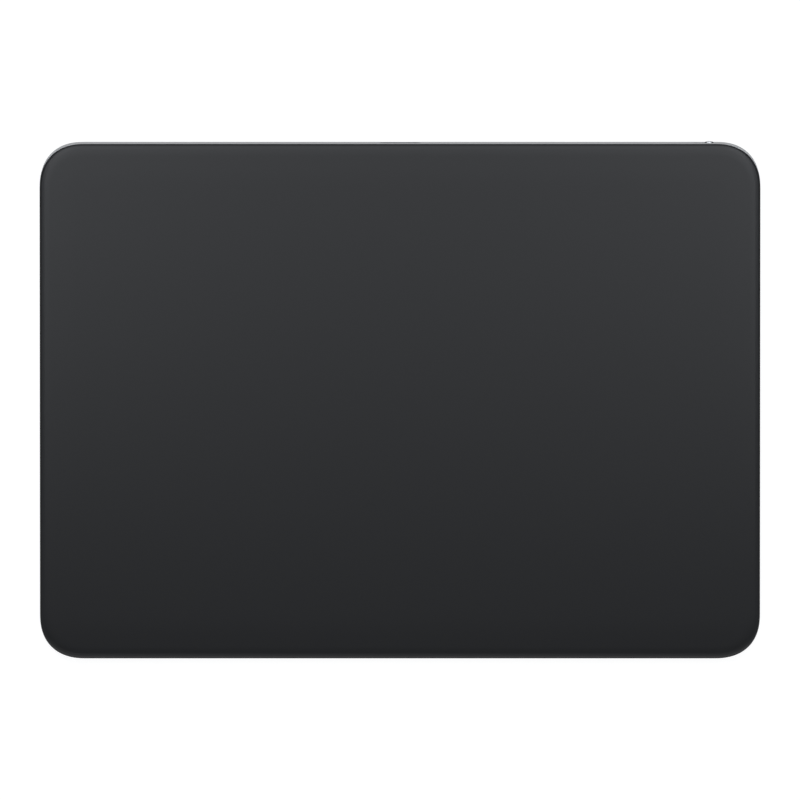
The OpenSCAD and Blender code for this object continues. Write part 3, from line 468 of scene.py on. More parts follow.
# Hardened strip steel: bluer and brighter than the sheet
SPRING_STEEL = RolledMetal(
    "spring_steel_strip", "spring_steel", "#BDC0C6", "#8F949C", 0.26, 0.08 * MM)
# Soft silicone gel: milky, wet-looking, lit from inside
GEL = MouldedSurface(
    "silicone_gel_cast", "silicone_gel",
    "#C9D8D4", "#B4C6C2", 0.22, 0.8 * MM, 0.006 * MM, 1.41, 0.6)
# Constantan foil on film: a fine metal grid
GAUGE_FOIL = BandedSurface(
    "constantan_foil_etched", "gauge_foil",
    "#D0A864", "#8A5B26", 0.35, 0.2 * MM, Axis.Y, 1.0, 0.01 * MM)
# Screws blackened in a salt bath: dark metal with a dull gleam
SCREW_STEEL = RolledMetal(
    "steel_screw_blackened", "screw_steel", "#4B4C4F", "#2E2F31", 0.4, 0.1 * MM, 4.0)
# Electrical steel sheets in a stack: dark grey with fine lines along the edges
CORE_IRON = BandedSurface(
    "electrical_steel_laminated", "core_iron",
    "#6C6E72", "#3C3D40", 0.45, 0.35 * MM, Axis.Z, 1.0, 0.02 * MM)
# Natural nylon from a mould: warm off-white, faintly translucent
BOBBIN_NYLON = MouldedSurface(
    "nylon_moulded", "bobbin_nylon", "#E2D8BE", "#D6C9A8", 0.45, 0.25 * MM, 0.006 * MM, 1.53, 0.15)
# Enamelled wire wound tight: a copper turn every quarter of a millimetre
COIL_COPPER = BandedSurface(
    "copper_wire_wound", "copper", "#C8763F", "#6E3216", 0.28, 0.25 * MM, Axis.X, 1.0, 0.06 * MM)
# Aluminium-laminate pouch: a dull dark foil with a soft crinkle
CELL_POUCH = MouldedSurface(
    "pouch_foil_laminated", "cell_pouch", "#4A4B4F", "#3A3B3E", 0.38, 2.2 * MM, 0.05 * MM)
# White foam tape: matt and slightly porous
FOAM_TAPE = MouldedSurface(
    "foam_tape_die_cut", "foam_tape", "#E6E4DC", "#D8D6CE", 0.85, 0.2 * MM, 0.02 * MM)
# Polyimide film over copper: amber with dark tracks along the lead
FLEX_FILM = BandedSurface(
    "polyimide_film_laminated", "flex_film",
    "#B4752A", "#7A4414", 0.3, 0.5 * MM, Axis.X, 0.0, 0.012 * MM)
# Liquid-crystal polymer connectors: ivory, sharp-moulded
CONNECTOR_RESIN = MouldedSurface(
    "polymer_connector_moulded", "connector_resin",
    "#DDD8C6", "#CFC9B5", 0.5, 0.2 * MM, 0.006 * MM)
# Deep-drawn steel with a black nickel plate: dark, with a soft gleam along its lip
PORT_STEEL = RolledMetal(
    "steel_shell_black_nickel", "port_steel", "#7C7D80", "#626366", 0.34, 0.1 * MM, 8.0)
# Glass-filled black resin: dull, with a fine fibre grain
BLACK_RESIN = MouldedSurface(
    "resin_black_moulded", "black_resin", "#27272A", "#1E1E20", 0.5, 0.15 * MM, 0.006 * MM)
# Gold over nickel: warm and bright, with wiping marks along the contact
CONTACT_GOLD = BandedSurface(
    "contact_gold_plated", "contact_gold",
    "#E8C368", "#C79A3C", 0.22, 0.08 * MM, Axis.X, 1.0, 0.002 * MM)


def arc(steps: int, turn: float = math.pi / 2) -> Outline:
    """Returns sines and cosines at even steps of a turn."""
    angles = [turn * step / steps for step in range(steps + 1)]
    return [(math.sin(angle), math.cos(angle)) for angle in angles]


def rounded(
    width: float, height: float, radius: float, steps: int, centre: Sequence[float] = (0.0, 0.0)
) -> Outline:
    """Draws a rectangle with round corners, a slot with round ends or a circle.

    Args:
        width: Width of the outline.
        height: Height of the outline.
        radius: Radius of its corners.
        steps: Spans along one corner.
        centre: Middle of the outline.

    Returns:
        Its points, anticlockwise from the lower right-hand corner.
    """
    points: Outline = []
    for quarter, (side_x, side_y) in enumerate(((1, -1), (1, 1), (-1, 1), (-1, -1)), start=-1):
        for step in range(steps + 1):
            angle = math.pi / 2 * (quarter + step / steps)
            points.append((
                centre[0] + side_x * (width / 2 - radius) + radius * math.cos(angle),
                centre[1] + side_y * (height / 2 - radius) + radius * math.sin(angle),
            ))
    # Two corners without a straight stretch between them share a point
    following = points[1:] + points[:1]
    return [here for here, there in zip(points, following) if math.dist(here, there) > TINY]


def prism(
    width: float, height: float, radius: float | None, cuts: Pairs, to_frame: FaceMap
) -> list[Ring]:
    """Draws a bar with rounded corners or with round ends.

    Args:
        width: Width of the bar.
        height: Height of the bar.
        radius: Radius of its corners, or None for round ends.
        cuts: Places along the bar, and how far its outline is drawn in there.
        to_frame: Map from a point of the outline and a place along the bar to the row's frame.

    Returns:
        The bar's sections, in the order of the cuts.
    """
    rings = []
    for along, inset in cuts:
        wide, high = width - 2 * inset, height - 2 * inset
        if radius is None:
            outline = rounded(wide, high, high / 2, END_STEPS)
        else:
            outline = rounded(wide, high, radius, CORNER_STEPS)
        rings.append([to_frame(x, z, along) for x, z in outline])
    return rings


def turned(centre: Vector, profile: Pairs) -> list[Ring]:
    """Draws a body turned about an upright line.

    Args:
        centre: Any point of that line.
        profile: Radii and heights.

    Returns:
        The body's sections, in the order of the profile.
    """
    rings = []
    for radius, height in profile:
        circle = rounded(2 * radius, 2 * radius, radius, TURNED_STEPS, centre)
        rings.append([Vector((x, y, height)) for x, y in circle])
    return rings


@dataclass(frozen=True)
class Wedge:
    """The pad's sloping plane and its outline.

    Attributes:
        width: Width of the pad.
        depth: Depth of the touch surface along its slope.
        front: Height of the touch surface at the front.
        rear: Height of the touch surface at the rear.
        corner: How far a corner's curve reaches along each side.
        power: Power of that curve: 2 is a circle, and a larger one is squarer.
        wall: Thickness of the tray's walls.
        marks: Shares of half a straight side at which it has a point, to keep its shading flat.
        steps: Spans along one corner.
    """

    width: float = 160 * MM
    depth: float = 114.5 * MM
    front: float = 4.9 * MM
    rear: float = 10.9 * MM
    corner: float = 10 * MM
    power: float = 2.3
    wall: float = 1.6 * MM
    marks: tuple[float, ...] = (0.0, 0.5, 0.97)
    steps: int = 24

    @property
    def slope(self) -> float:
        """Angle of the touch surface."""
        return math.asin((self.rear - self.front) / self.depth)

    @property
    def middle(self) -> float:
        """Height of the touch surface in the middle."""
        return (self.front + self.rear) / 2

    def place(self, x: float, v: float, w: float) -> Vector:
        """Finds a point of the sloping plane's space in the row's frame.

        Args:
            x: Place across the pad.
            v: Depth along the slope, from the pad's middle.
            w: Level, square to the slope.

        Returns:
            The point.
        """
        rise, run = math.sin(self.slope), math.cos(self.slope)
        shift = -self.rear * rise / 2
        return Vector((x, shift + v * run - w * rise, self.middle + v * rise + w * run))

    def level(self, v: float, height: float) -> float:
        """Returns the level at which the line square to the slope at depth v reaches a height."""
        return (height - self.middle - v * math.sin(self.slope)) / math.cos(self.slope)

    def outline(self, inset: float) -> Outline:
        """Draws the pad's outline with its superelliptic corners.

        Args:
            inset: Distance inside the full outline.

        Returns:
            Points in x and v, anticlockwise from the right-hand side.
        """
        reach = self.corner - inset
        half_x = self.width / 2 - self.corner
        half_v = self.depth / 2 - self.corner
        quarter = [(half_x + reach, share * half_v) for share in self.marks]
        for sine, cosine in arc(self.steps):
            quarter.append((
                half_x + reach * max(0.0, cosine) ** (2 / self.power),
                half_v + reach * max(0.0, sine) ** (2 / self.power),
            ))
        quarter += [(share * half_x, half_v + reach) for share in reversed(self.marks)]
        points = list(quarter)
        points += [(-x, v) for x, v in reversed(quarter[:-1])]
        points += [(-x, -v) for x, v in quarter[1:]]
        points += [(x, -v) for x, v in reversed(quarter[1:-1])]
        return points

    def at_level(self, outline: Outline, level: float) -> Ring:
        """Returns an outline at one level of the touch plate."""
        return [self.place(x, v, level) for x, v in outline]

    def at_height(self, outline: Outline, height: float) -> Ring:
        """Returns the outline of leaning walls at one height above the desk."""
        return [self.place(x, v, self.level(v, height)) for x, v in outline]


def middle_of(node: str) -> Vector:
    """Returns the middle of a CAD node's box."""
    low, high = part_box(node)
    return (low + high) / 2


def screw_places(node: str, head_radius: float = 1.2 * MM) -> list[Vector]:
    """Finds where a pair of screws stands.

    Args:
        node: CAD node that holds the two screws.
        head_radius: Radius of a screw's head.

    Returns:
        The middle of each screw.
    """
    low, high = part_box(node)
    half = (high - low) / 2
    if half.x > half.y:
        offset = Vector((half.x - head_radius, 0, 0))
    else:
        offset = Vector((0, half.y - head_radius, 0))
    return [low + half - offset, low + half + offset]


def skin(shell: bmesh.types.BMesh, rings: Sequence[Ring], closed: bool = True) -> None:
    """Adds a body to a shell: rings of equal length, skinned, with a cap at each end.

    Args:
        shell: Shell that takes the body.
        rings: The body's sections from one end to the other.
        closed: Whether the first end has a cap too.
    """
    rows = [[shell.verts.new(point) for point in ring] for ring in rings]
    made = [shell.faces.new(rows[-1])]
    for low, high in zip(rows, rows[1:]):
        for here in range(len(low)):
            there = (here + 1) % len(low)
            made.append(shell.faces.new((low[here], low[there], high[there], high[here])))
    if closed:
        made.append(shell.faces.new(list(reversed(rows[0]))))
        bmesh.ops.recalc_face_normals(shell, faces=made)


def settle(shell: bmesh.types.BMesh, name: str) -> Piece:
    """Turns a shell into a piece.

    Args:
        shell: Shell that is used up.
        name: Name of the piece and its mesh.

    Returns:
        The piece, in the scene.
    """
    mesh = bpy.data.meshes.new(name)
    shell.to_mesh(mesh)
    shell.free()
    piece = bpy.data.objects.new(name, mesh)
    bpy.context.scene.collection.objects.link(piece)
    return piece


def loft(name: str, *bodies: Sequence[Ring], closed: bool = True) -> Piece:
    """Makes one piece of one or more skinned bodies.

    Args:
        name: Name of the piece.
        bodies: The rings of each body.
        closed: Whether the bodies have a cap at their first end too.

    Returns:
        The piece, in the scene.
    """
    shell = bmesh.new()
    for rings in bodies:
        skin(shell, rings, closed)
    return settle(shell, name)


def carve(piece: Piece, cutters: Iterable[Piece]) -> None:
    """Cuts shapes out of a piece and throws the cutters away.

    Args:
        piece: Piece whose mesh is cut.
        cutters: Closed shapes to take out of it.
    """
    cutters = list(cutters)
    for cutter in cutters:
        cut = piece.modifiers.new("cut", "BOOLEAN")
        cut.object = cutter
        cut.operation = "DIFFERENCE"
        cut.solver = "EXACT"
    bpy.context.view_layer.update()
    solved = piece.evaluated_get(bpy.context.evaluated_depsgraph_get())
    piece.data = bpy.data.meshes.new_from_object(solved)
    piece.modifiers.clear()
    for cutter in cutters:
        bpy.data.objects.remove(cutter)


def merge(piece: Piece, bodies: Iterable[Sequence[Ring]]) -> None:
    """Adds more skinned bodies to a piece's mesh.

    Args:
        piece: Piece that takes the bodies.
        bodies: The rings of each body.
    """
    shell = bmesh.new()
    shell.from_mesh(piece.data)
    for rings in bodies:
        skin(shell, rings)
    shell.to_mesh(piece.data)
    shell.free()


def cover(piece: Piece, finish: Finish) -> None:
    """Gives a piece a finish.

    Args:
        piece: Piece that is covered.
        finish: Finish that it takes.
    """
    piece.data.materials.clear()
    piece.data.materials.append(finish.material())


def stand_for(piece: Piece, finish: Finish, *nodes: str) -> None:
    """Smooths a piece, covers it and shows it in place of CAD nodes.

    Args:
        piece: Piece that follows its bodies already.
        finish: Finish that it takes.
        nodes: CAD nodes that it stands for.
    """
    piece.data.shade_smooth()
    piece.data.set_sharp_from_angle(angle=SHARP_ANGLE)
    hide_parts(*nodes)
    cover(piece, finish)


def install(piece: Piece, finish: Finish, body: Body, *nodes: str) -> None:
    """Lets a finished piece ride in place of CAD nodes.

    Args:
        piece: Piece in its place at rest.
        finish: Finish that it takes.
        body: Body that it moves with.
        nodes: CAD nodes that it stands for.
    """
    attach(piece, body.value)
    stand_for(piece, finish, *nodes)
    LOG.info("%s stands for %s on %s", piece.name, ", ".join(nodes), body.value)


def dress(finish: Finish, *nodes: str) -> None:
    """Gives CAD nodes that stay as they are a finish.

    Args:
        finish: Finish that they take.
        nodes: Names of the CAD nodes.
    """
    for node in nodes:
        cover(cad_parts[node], finish)
        LOG.info("%s keeps its CAD shape in %s", node, finish.name)


@dataclass(frozen=True)
class Bend:
    """Bodies that a springy piece joins, and the points between which it is cut into spans.

    Attributes:
        rooted: Body that its first end follows.
        moved: Body that its last end follows.
        start: Point where it leaves the first body.
        end: Point where it has joined the other.
        spans: Number of spans into which it is cut between the two points.
    """

    rooted: Body
    moved: Body
    start: Vector
    end: Vector
    spans: int = 10


def bending_copy(node: str, finish: Finish, bend: Bend) -> None:
    """Copies a CAD node's mesh and cuts it across its bending length.

    Args:
        node: CAD node that is copied, and that the copy stands for.
        finish: Finish of the copy.
        bend: Bodies and points between which it bends.
    """
    shell = bmesh.new()
    shell.from_mesh(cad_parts[node].data)
    along = bend.end - bend.start
    for step in range(bend.spans + 1):
        everything = shell.verts[:] + shell.edges[:] + shell.faces[:]
        bmesh.ops.bisect_plane(
            shell, geom=everything, dist=TINY, plane_co=bend.start + along * (step / bend.spans),
            plane_no=along.normalized())
    piece = settle(shell, f"{node}_bending")
    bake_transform(piece)
    stand_for(piece, finish, node)
    LOG.info("%s bends between %s and %s", piece.name, bend.rooted.value, bend.moved.value)


@dataclass
class TouchPlate:
    """Floating touch plate: etched glass over its sensor board, chips and stiffener.

    Attributes:
        wedge: Plane and outline of the pad.
        thickness: Thickness of the glass.
        tilts: Distances from the edge, and the tilt in degrees that the face has there. It falls
            away a little over the outer millimetres, then a crease starts the rolled border.
        steps: Spans between two of these distances.
        flat: Width of the flat ring inside the border.
        land: Height of the upright ring under the border.
        arris: Small chamfer round the glass's underside.
    """

    wedge: Wedge
    thickness: float = 1.0 * MM
    tilts: tuple[tuple[float, float], ...] = (
        (9.0 * MM, 0.0), (5.0 * MM, 0.9), (2.6 * MM, 0.9), (1.12 * MM, 5.5), (1.08 * MM, 10.0),
        (0.55 * MM, 11.5), (0.0, 36.0))
    steps: int = 8
    flat: float = 1.0 * MM
    land: float = 0.02 * MM
    arris: float = 0.06 * MM

    def profile(self) -> Outline:
        """Draws the border's section, from the face to the underside.

        Returns:
            Insets and levels.
        """
        inset, level = self.tilts[0][0], 0.0
        section: Outline = [(inset + self.flat, level), (inset, level)]
        for (start, first), (end, last) in zip(self.tilts, self.tilts[1:]):
            stride = (start - end) / self.steps
            for step in range(self.steps):
                tilt = math.radians(first + (last - first) * (step + 0.5) / self.steps)
                inset -= stride
                level -= stride * math.tan(tilt)
                section.append((max(0.0, inset), level))
        section += [(0.0, level - self.land), (0.0, self.arris - self.thickness)]
        section.append((self.arris, -self.thickness))
        return section

    def build(self) -> None:
        """Builds the glass and dresses what lies under it."""
        wedge = self.wedge
        rings = [wedge.at_level(wedge.outline(inset), level) for inset, level in self.profile()]
        install(loft("touch_glass_etched", rings), ETCHED_GLASS, Body.PLATE, "touch_glass")
        dress(BOND_FILM, "glass_bond")
        dress(BOARD_MASK, "sensor_board")
        dress(CHIP_EPOXY, "touch_chips")
        dress(PLATE_STEEL, "stiffener")
        dress(CORE_IRON, "attraction_bar")


@dataclass
class FloorMounts:
    """Bosses, posts and ribs that stand on the tray's floor.

    Attributes:
        wedge: Plane and outline of the pad.
        floor: Height of the tray's floor above the desk.
        sink: How far they reach into the floor.
        arm_boss: Width, depth and corner radius of the bosses that clamp the arms.
        arm_v: Depth of these bosses from the pad's middle.
        arm_top: Level of their upper faces.
        boss: Radius of a screw boss and of a post.
        boss_tops: Nodes with a pair of screws, and the heights of their bosses.
        switch_x: Middle of the switch.
        switch_v: Depth of the switch's mounts.
        post_reach: Distance of a post from the switch's middle.
        post_top: Level of the posts' upper faces.
        pedestal: Width, depth and corner radius of the pedestal under the switch.
        pedestal_top: Level of its upper face.
        rib_width: Width of a rib.
        rib_pitch: Distance from rib to rib.
        rib_pairs: Number of ribs on each side of the middle one.
        rib_front: Place of the ribs' front ends.
        rib_rear: Place of the ribs' rear ends.
        rib_top: Height of the ribs above the desk.
        rib_soft: Chamfer along their upper edges.
        rib_corner: Radius of their corners.
    """

    wedge: Wedge
    floor: float
    sink: float = 0.3 * MM
    arm_boss: tuple[float, float, float] = (9 * MM, 8 * MM, 1 * MM)
    arm_v: float = 42.25 * MM
    arm_top: float = -3.45 * MM
    boss: float = 1.4 * MM
    boss_tops: tuple[tuple[str, float], ...] = (
        ("board_screws", 2.6 * MM), ("cowling_screws", 2.6 * MM), ("magnet_screws", 2.25 * MM))
    switch_x: float = 67.5 * MM
    switch_v: float = 51.65 * MM
    post_reach: float = 6 * MM
    post_top: float = -4.5 * MM
    pedestal: tuple[float, float, float] = (8 * MM, 3 * MM, 0.1 * MM)
    pedestal_top: float = -7.1 * MM
    rib_width: float = 1.4 * MM
    rib_pitch: float = 22 * MM
    rib_pairs: int = 2
    rib_front: float = -51.68 * MM
    rib_rear: float = -13.0 * MM
    rib_top: float = 2.2 * MM
    rib_soft: float = 0.1 * MM
    rib_corner: float = 0.2 * MM

    @property
    def root(self) -> float:
        """Height of the mounts' feet above the desk."""
        return self.floor - self.sink

    def standing(self, outline: Outline, top: float) -> list[Ring]:
        """Returns the ends of a body that stands square to the touch plate, up to a level."""
        return [self.wedge.at_height(outline, self.root), self.wedge.at_level(outline, top)]

    def arm_bosses(self) -> list[list[Ring]]:
        """Draws the bosses that clamp the arms.

        Returns:
            The sections of each boss.
        """
        width, depth, radius = self.arm_boss
        bodies = []
        for corner in Corner:
            low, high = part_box(corner.node("arm"))
            x = corner.side * (max(abs(low.x), abs(high.x)) - width / 2)
            outline = rounded(width, depth, radius, CORNER_STEPS, (x, corner.end * self.arm_v))
            bodies.append(self.standing(outline, self.arm_top))
        return bodies

    def screw_bosses(self) -> list[list[Ring]]:
        """Returns the upright bosses under the pairs of screws."""
        return [
            turned(centre, ((self.boss, self.root), (self.boss, top)))
            for node, top in self.boss_tops for centre in screw_places(node)
        ]

    def switch_mounts(self) -> list[list[Ring]]:
        """Draws the two posts and the pedestal of the switch.

        Returns:
            The sections of each of them.
        """
        bodies = []
        for x in (self.switch_x - self.post_reach, self.switch_x + self.post_reach):
            post = rounded(2 * self.boss, 2 * self.boss, self.boss, END_STEPS, (x, self.switch_v))
            bodies.append(self.standing(post, self.post_top))
        width, depth, radius = self.pedestal
        outline = rounded(width, depth, radius, CORNER_STEPS, (self.switch_x, self.switch_v))
        bodies.append(self.standing(outline, self.pedestal_top))
        return bodies

    def rib(self, x: float, y: float, width: float, depth: float) -> list[Ring]:
        """Returns the sections of a rib about a place, with a slightly softened top."""
        cuts = ((self.root, 0.0), (self.rib_top - self.rib_soft, 0.0), (self.rib_top, self.rib_soft))
        return prism(width, depth, self.rib_corner, cuts, lambda px, py, z: Vector((x + px, y + py, z)))

    def ribs(self) -> list[list[Ring]]:
        """Draws the ribs under the battery, and the two that join their ends.

        Returns:
            The sections of each rib.
        """
        front, rear, width = self.rib_front, self.rib_rear, self.rib_width
        bodies = [
            self.rib(count * self.rib_pitch, (front + rear) / 2, width, rear - front)
            for count in range(-self.rib_pairs, self.rib_pairs + 1)
        ]
        span = 2 * self.rib_pairs * self.rib_pitch + width
        bodies += [self.rib(0.0, y, span, width) for y in (front + width / 2, rear - width / 2)]
        return bodies

    def bodies(self) -> list[list[Ring]]:
        """Returns the sections of everything that stands on the floor."""
        return self.arm_bosses() + self.screw_bosses() + self.switch_mounts() + self.ribs()


@dataclass
class Tray:
    """Machined aluminium tray with its pockets, openings, mounts and feet.

    Attributes:
        wedge: Plane and outline of the pad.
        squarer: How much shorter the tray's corner curves are than the glass's, so that the tray
            shows beside the glass at the rear corners.
        lift: Height of the tray's underside above the desk.
        floor: Height of the tray's floor above the desk.
        base_edge: Radius of the lower edge.
        rim: Level of the rim under the glass.
        rim_edge: Radius of the rim's edges.
        fillet: Radius between the walls and the floor.
        flat: Width of the flat ring inside the base's edge and inside the floor's fillet.
        land: Height of the upright ring above the base's edge.
        pocket_radius: Radius of a foot's pocket.
        pocket_depth: Depth of a foot's pocket.
        broken: Width of the small chamfer round every opening.
        beyond: How far a cutter reaches past the inside of the wall.
        foot_radius: Radius of a foot.
        foot_edge: Radius of a foot's lower edge.
        foot_flat: Width of the flat ring inside that edge.
        steps: Spans along a rounded edge.
    """

    wedge: Wedge
    squarer: float = 0.4 * MM
    lift: float = 0.6 * MM
    floor: float = 1.6 * MM
    base_edge: float = 1.2 * MM
    rim: float = -1.4 * MM
    rim_edge: float = 0.1 * MM
    fillet: float = 0.25 * MM
    flat: float = 1.0 * MM
    land: float = 0.1 * MM
    pocket_radius: float = 5.0 * MM
    pocket_depth: float = 0.4 * MM
    broken: float = 0.02 * MM
    beyond: float = 1.0 * MM
    foot_radius: float = 4.95 * MM
    foot_edge: float = 0.3 * MM
    foot_flat: float = 0.6 * MM
    steps: int = 6

    def __post_init__(self) -> None:
        """Makes the tray's corners squarer than the glass's."""
        self.wedge = replace(self.wedge, corner=self.wedge.corner - self.squarer)

    def height_ring(self, inset: float, height: float) -> Ring:
        """Returns the walls' outline at one height above the desk."""
        return self.wedge.at_height(self.wedge.outline(inset), height)

    def level_ring(self, inset: float, level: float) -> Ring:
        """Returns the walls' outline at one level under the touch surface."""
        return self.wedge.at_level(self.wedge.outline(inset), level)

    def shell(self) -> list[Ring]:
        """Draws the tray from its underside over the rim to the floor.

        Returns:
            The tray's sections.
        """
        base, rim, fillet, wall = self.base_edge, self.rim_edge, self.fillet, self.wedge.wall
        rings = [self.height_ring(base + self.flat, self.lift)]
        for sine, cosine in arc(self.steps):
            rings.append(self.height_ring(base * (1 - sine), self.lift + base * (1 - cosine)))
        rings.append(self.height_ring(0.0, self.lift + base + self.land))
        rings.append(self.level_ring(0.0, self.rim - 2 * rim))
        for sine, cosine in arc(self.steps):
            rings.append(self.level_ring(rim * (1 - cosine), self.rim - rim * (1 - sine)))
        for sine, cosine in arc(self.steps):
            rings.append(self.level_ring(wall - rim * (1 - sine), self.rim - rim * (1 - cosine)))
        for sine, cosine in arc(self.steps):
            inset, rise = wall + fillet * (1 - cosine), fillet * (1 - sine)
            rings.append(self.height_ring(inset, self.floor + rise))
        rings.append(self.height_ring(wall + fillet + self.flat, self.floor))
        return rings

    def foot_pocket(self, corner: Corner) -> Piece:
        """Returns the cutter for a foot's pocket, with a broken edge."""
        profile = (
            (self.pocket_radius + self.broken, self.lift - self.broken),
            (self.pocket_radius + self.broken, self.lift),
            (self.pocket_radius, self.lift + self.broken),
            (self.pocket_radius, self.lift + self.pocket_depth),
        )
        return loft(f"cut_{corner.value}", turned(middle_of(corner.node("foot")), profile))

    def opening(self, name: str, width: float, height: float, to_frame: FaceMap) -> Piece:
        """Makes a cutter through the rear wall that flares a little at the outer face.

        Args:
            name: Name of the cutter.
            width: Width of the opening, which has round ends.
            height: Height of the opening.
            to_frame: Map from a place on the wall and a distance outside it to the row's frame.

        Returns:
            The cutter.
        """
        inside = -self.wedge.wall - self.beyond
        cuts = ((inside, 0.0), (-self.broken, 0.0), (self.broken, -2 * self.broken))
        return loft(name, prism(width, height, None, cuts, to_frame))

    def foot(self, corner: Corner) -> None:
        """Builds one rubber foot.

        Args:
            corner: Corner that it stands at.
        """
        node = corner.node("foot")
        low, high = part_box(node)
        radius, edge = self.foot_radius, self.foot_edge
        profile = [(radius - edge - self.foot_flat, low.z)]
        for sine, cosine in arc(self.steps):
            profile.append((radius - edge * (1 - sine), low.z + edge * (1 - cosine)))
        profile.append((radius, high.z))
        foot = loft(f"{node}_moulded", turned(middle_of(node), profile))
        install(foot, FOOT_RUBBER, Body.HOUSING, node)

    def build(self, openings: Iterable[Piece]) -> None:
        """Builds the tray and its feet.

        Args:
            openings: Cutters for the port and the switch slot.
        """
        tray = loft("tray_machined", self.shell())
        carve(tray, [self.foot_pocket(corner) for corner in Corner] + list(openings))
        merge(tray, FloorMounts(self.wedge, self.floor).bodies())
        install(tray, TRAY_ALUMINIUM, Body.HOUSING, "enclosure")
        for corner in Corner:
            self.foot(corner)


@dataclass
class Suspension:
    """Spring arms, strain gauges, cups and gel pads that carry the touch plate.

    Attributes:
        wedge: Plane and outline of the pad.
        clamp: Distance of the arms' clamped ends from the middle.
        tip: Distance of the arms' free ends from the middle.
        gel_low: Level of a gel pad's underside.
        gel_high: Level of a gel pad's upper face.
        gel_spans: Number of spans into which a gel pad is cut.
    """

    wedge: Wedge
    clamp: float = 67 * MM
    tip: float = 60 * MM
    gel_low: float = -2.75 * MM
    gel_high: float = -2.25 * MM
    gel_spans: int = 4

    def build(self) -> None:
        """Builds the pieces that bend and dresses the others."""
        up = self.wedge.place(0, 0, self.gel_high) - self.wedge.place(0, 0, self.gel_low)
        for corner in Corner:
            middle = middle_of(corner.node("arm"))
            start, end = (
                Vector((corner.side * reach, middle.y, middle.z)) for reach in (self.clamp, self.tip))
            bend = Bend(Body.HOUSING, Body.CUPS, start, end)
            bending_copy(corner.node("arm"), SPRING_STEEL, bend)
            bending_copy(corner.node("gauge"), GAUGE_FOIL, bend)
            middle = middle_of(corner.node("gel"))
            bend = Bend(Body.CUPS, Body.PLATE, middle - up / 2, middle + up / 2, self.gel_spans)
            bending_copy(corner.node("gel"), GEL, bend)
            dress(PLATE_STEEL, corner.node("cup"))
        dress(SCREW_STEEL, "arm_screws")


class HapticMagnet:
    """Magnet that shakes the touch plate: core, bobbins, windings and screws."""

    def build(self) -> None:
        """Dresses the magnet's pieces."""
        dress(CORE_IRON, "magnet_core")
        dress(BOBBIN_NYLON, "bobbin_front", "bobbin_rear")
        dress(COIL_COPPER, "coil_front", "coil_rear")
        dress(SCREW_STEEL, "magnet_screws")


class Battery:
    """Flat battery with its tape, protection circuit and lead."""

    def build(self) -> None:
        """Dresses the battery's pieces."""
        dress(CELL_POUCH, "battery_cell")
        dress(FOAM_TAPE, "battery_tape")
        dress(BOARD_MASK, "battery_circuit")
        dress(FLEX_FILM, "battery_lead")


class LogicBoard:
    """Main board with its chips, radio can, connectors, screws and antenna."""

    def build(self) -> None:
        """Dresses the board's pieces."""
        dress(BOARD_MASK, "logic_board")
        dress(CHIP_EPOXY, "board_chips")
        dress(PLATE_STEEL, "radio_shield")
        dress(CONNECTOR_RESIN, "board_connectors")
        dress(SCREW_STEEL, "board_screws")
        dress(BLACK_RESIN, "antenna_carrier")
        dress(COIL_COPPER, "antenna_foil")


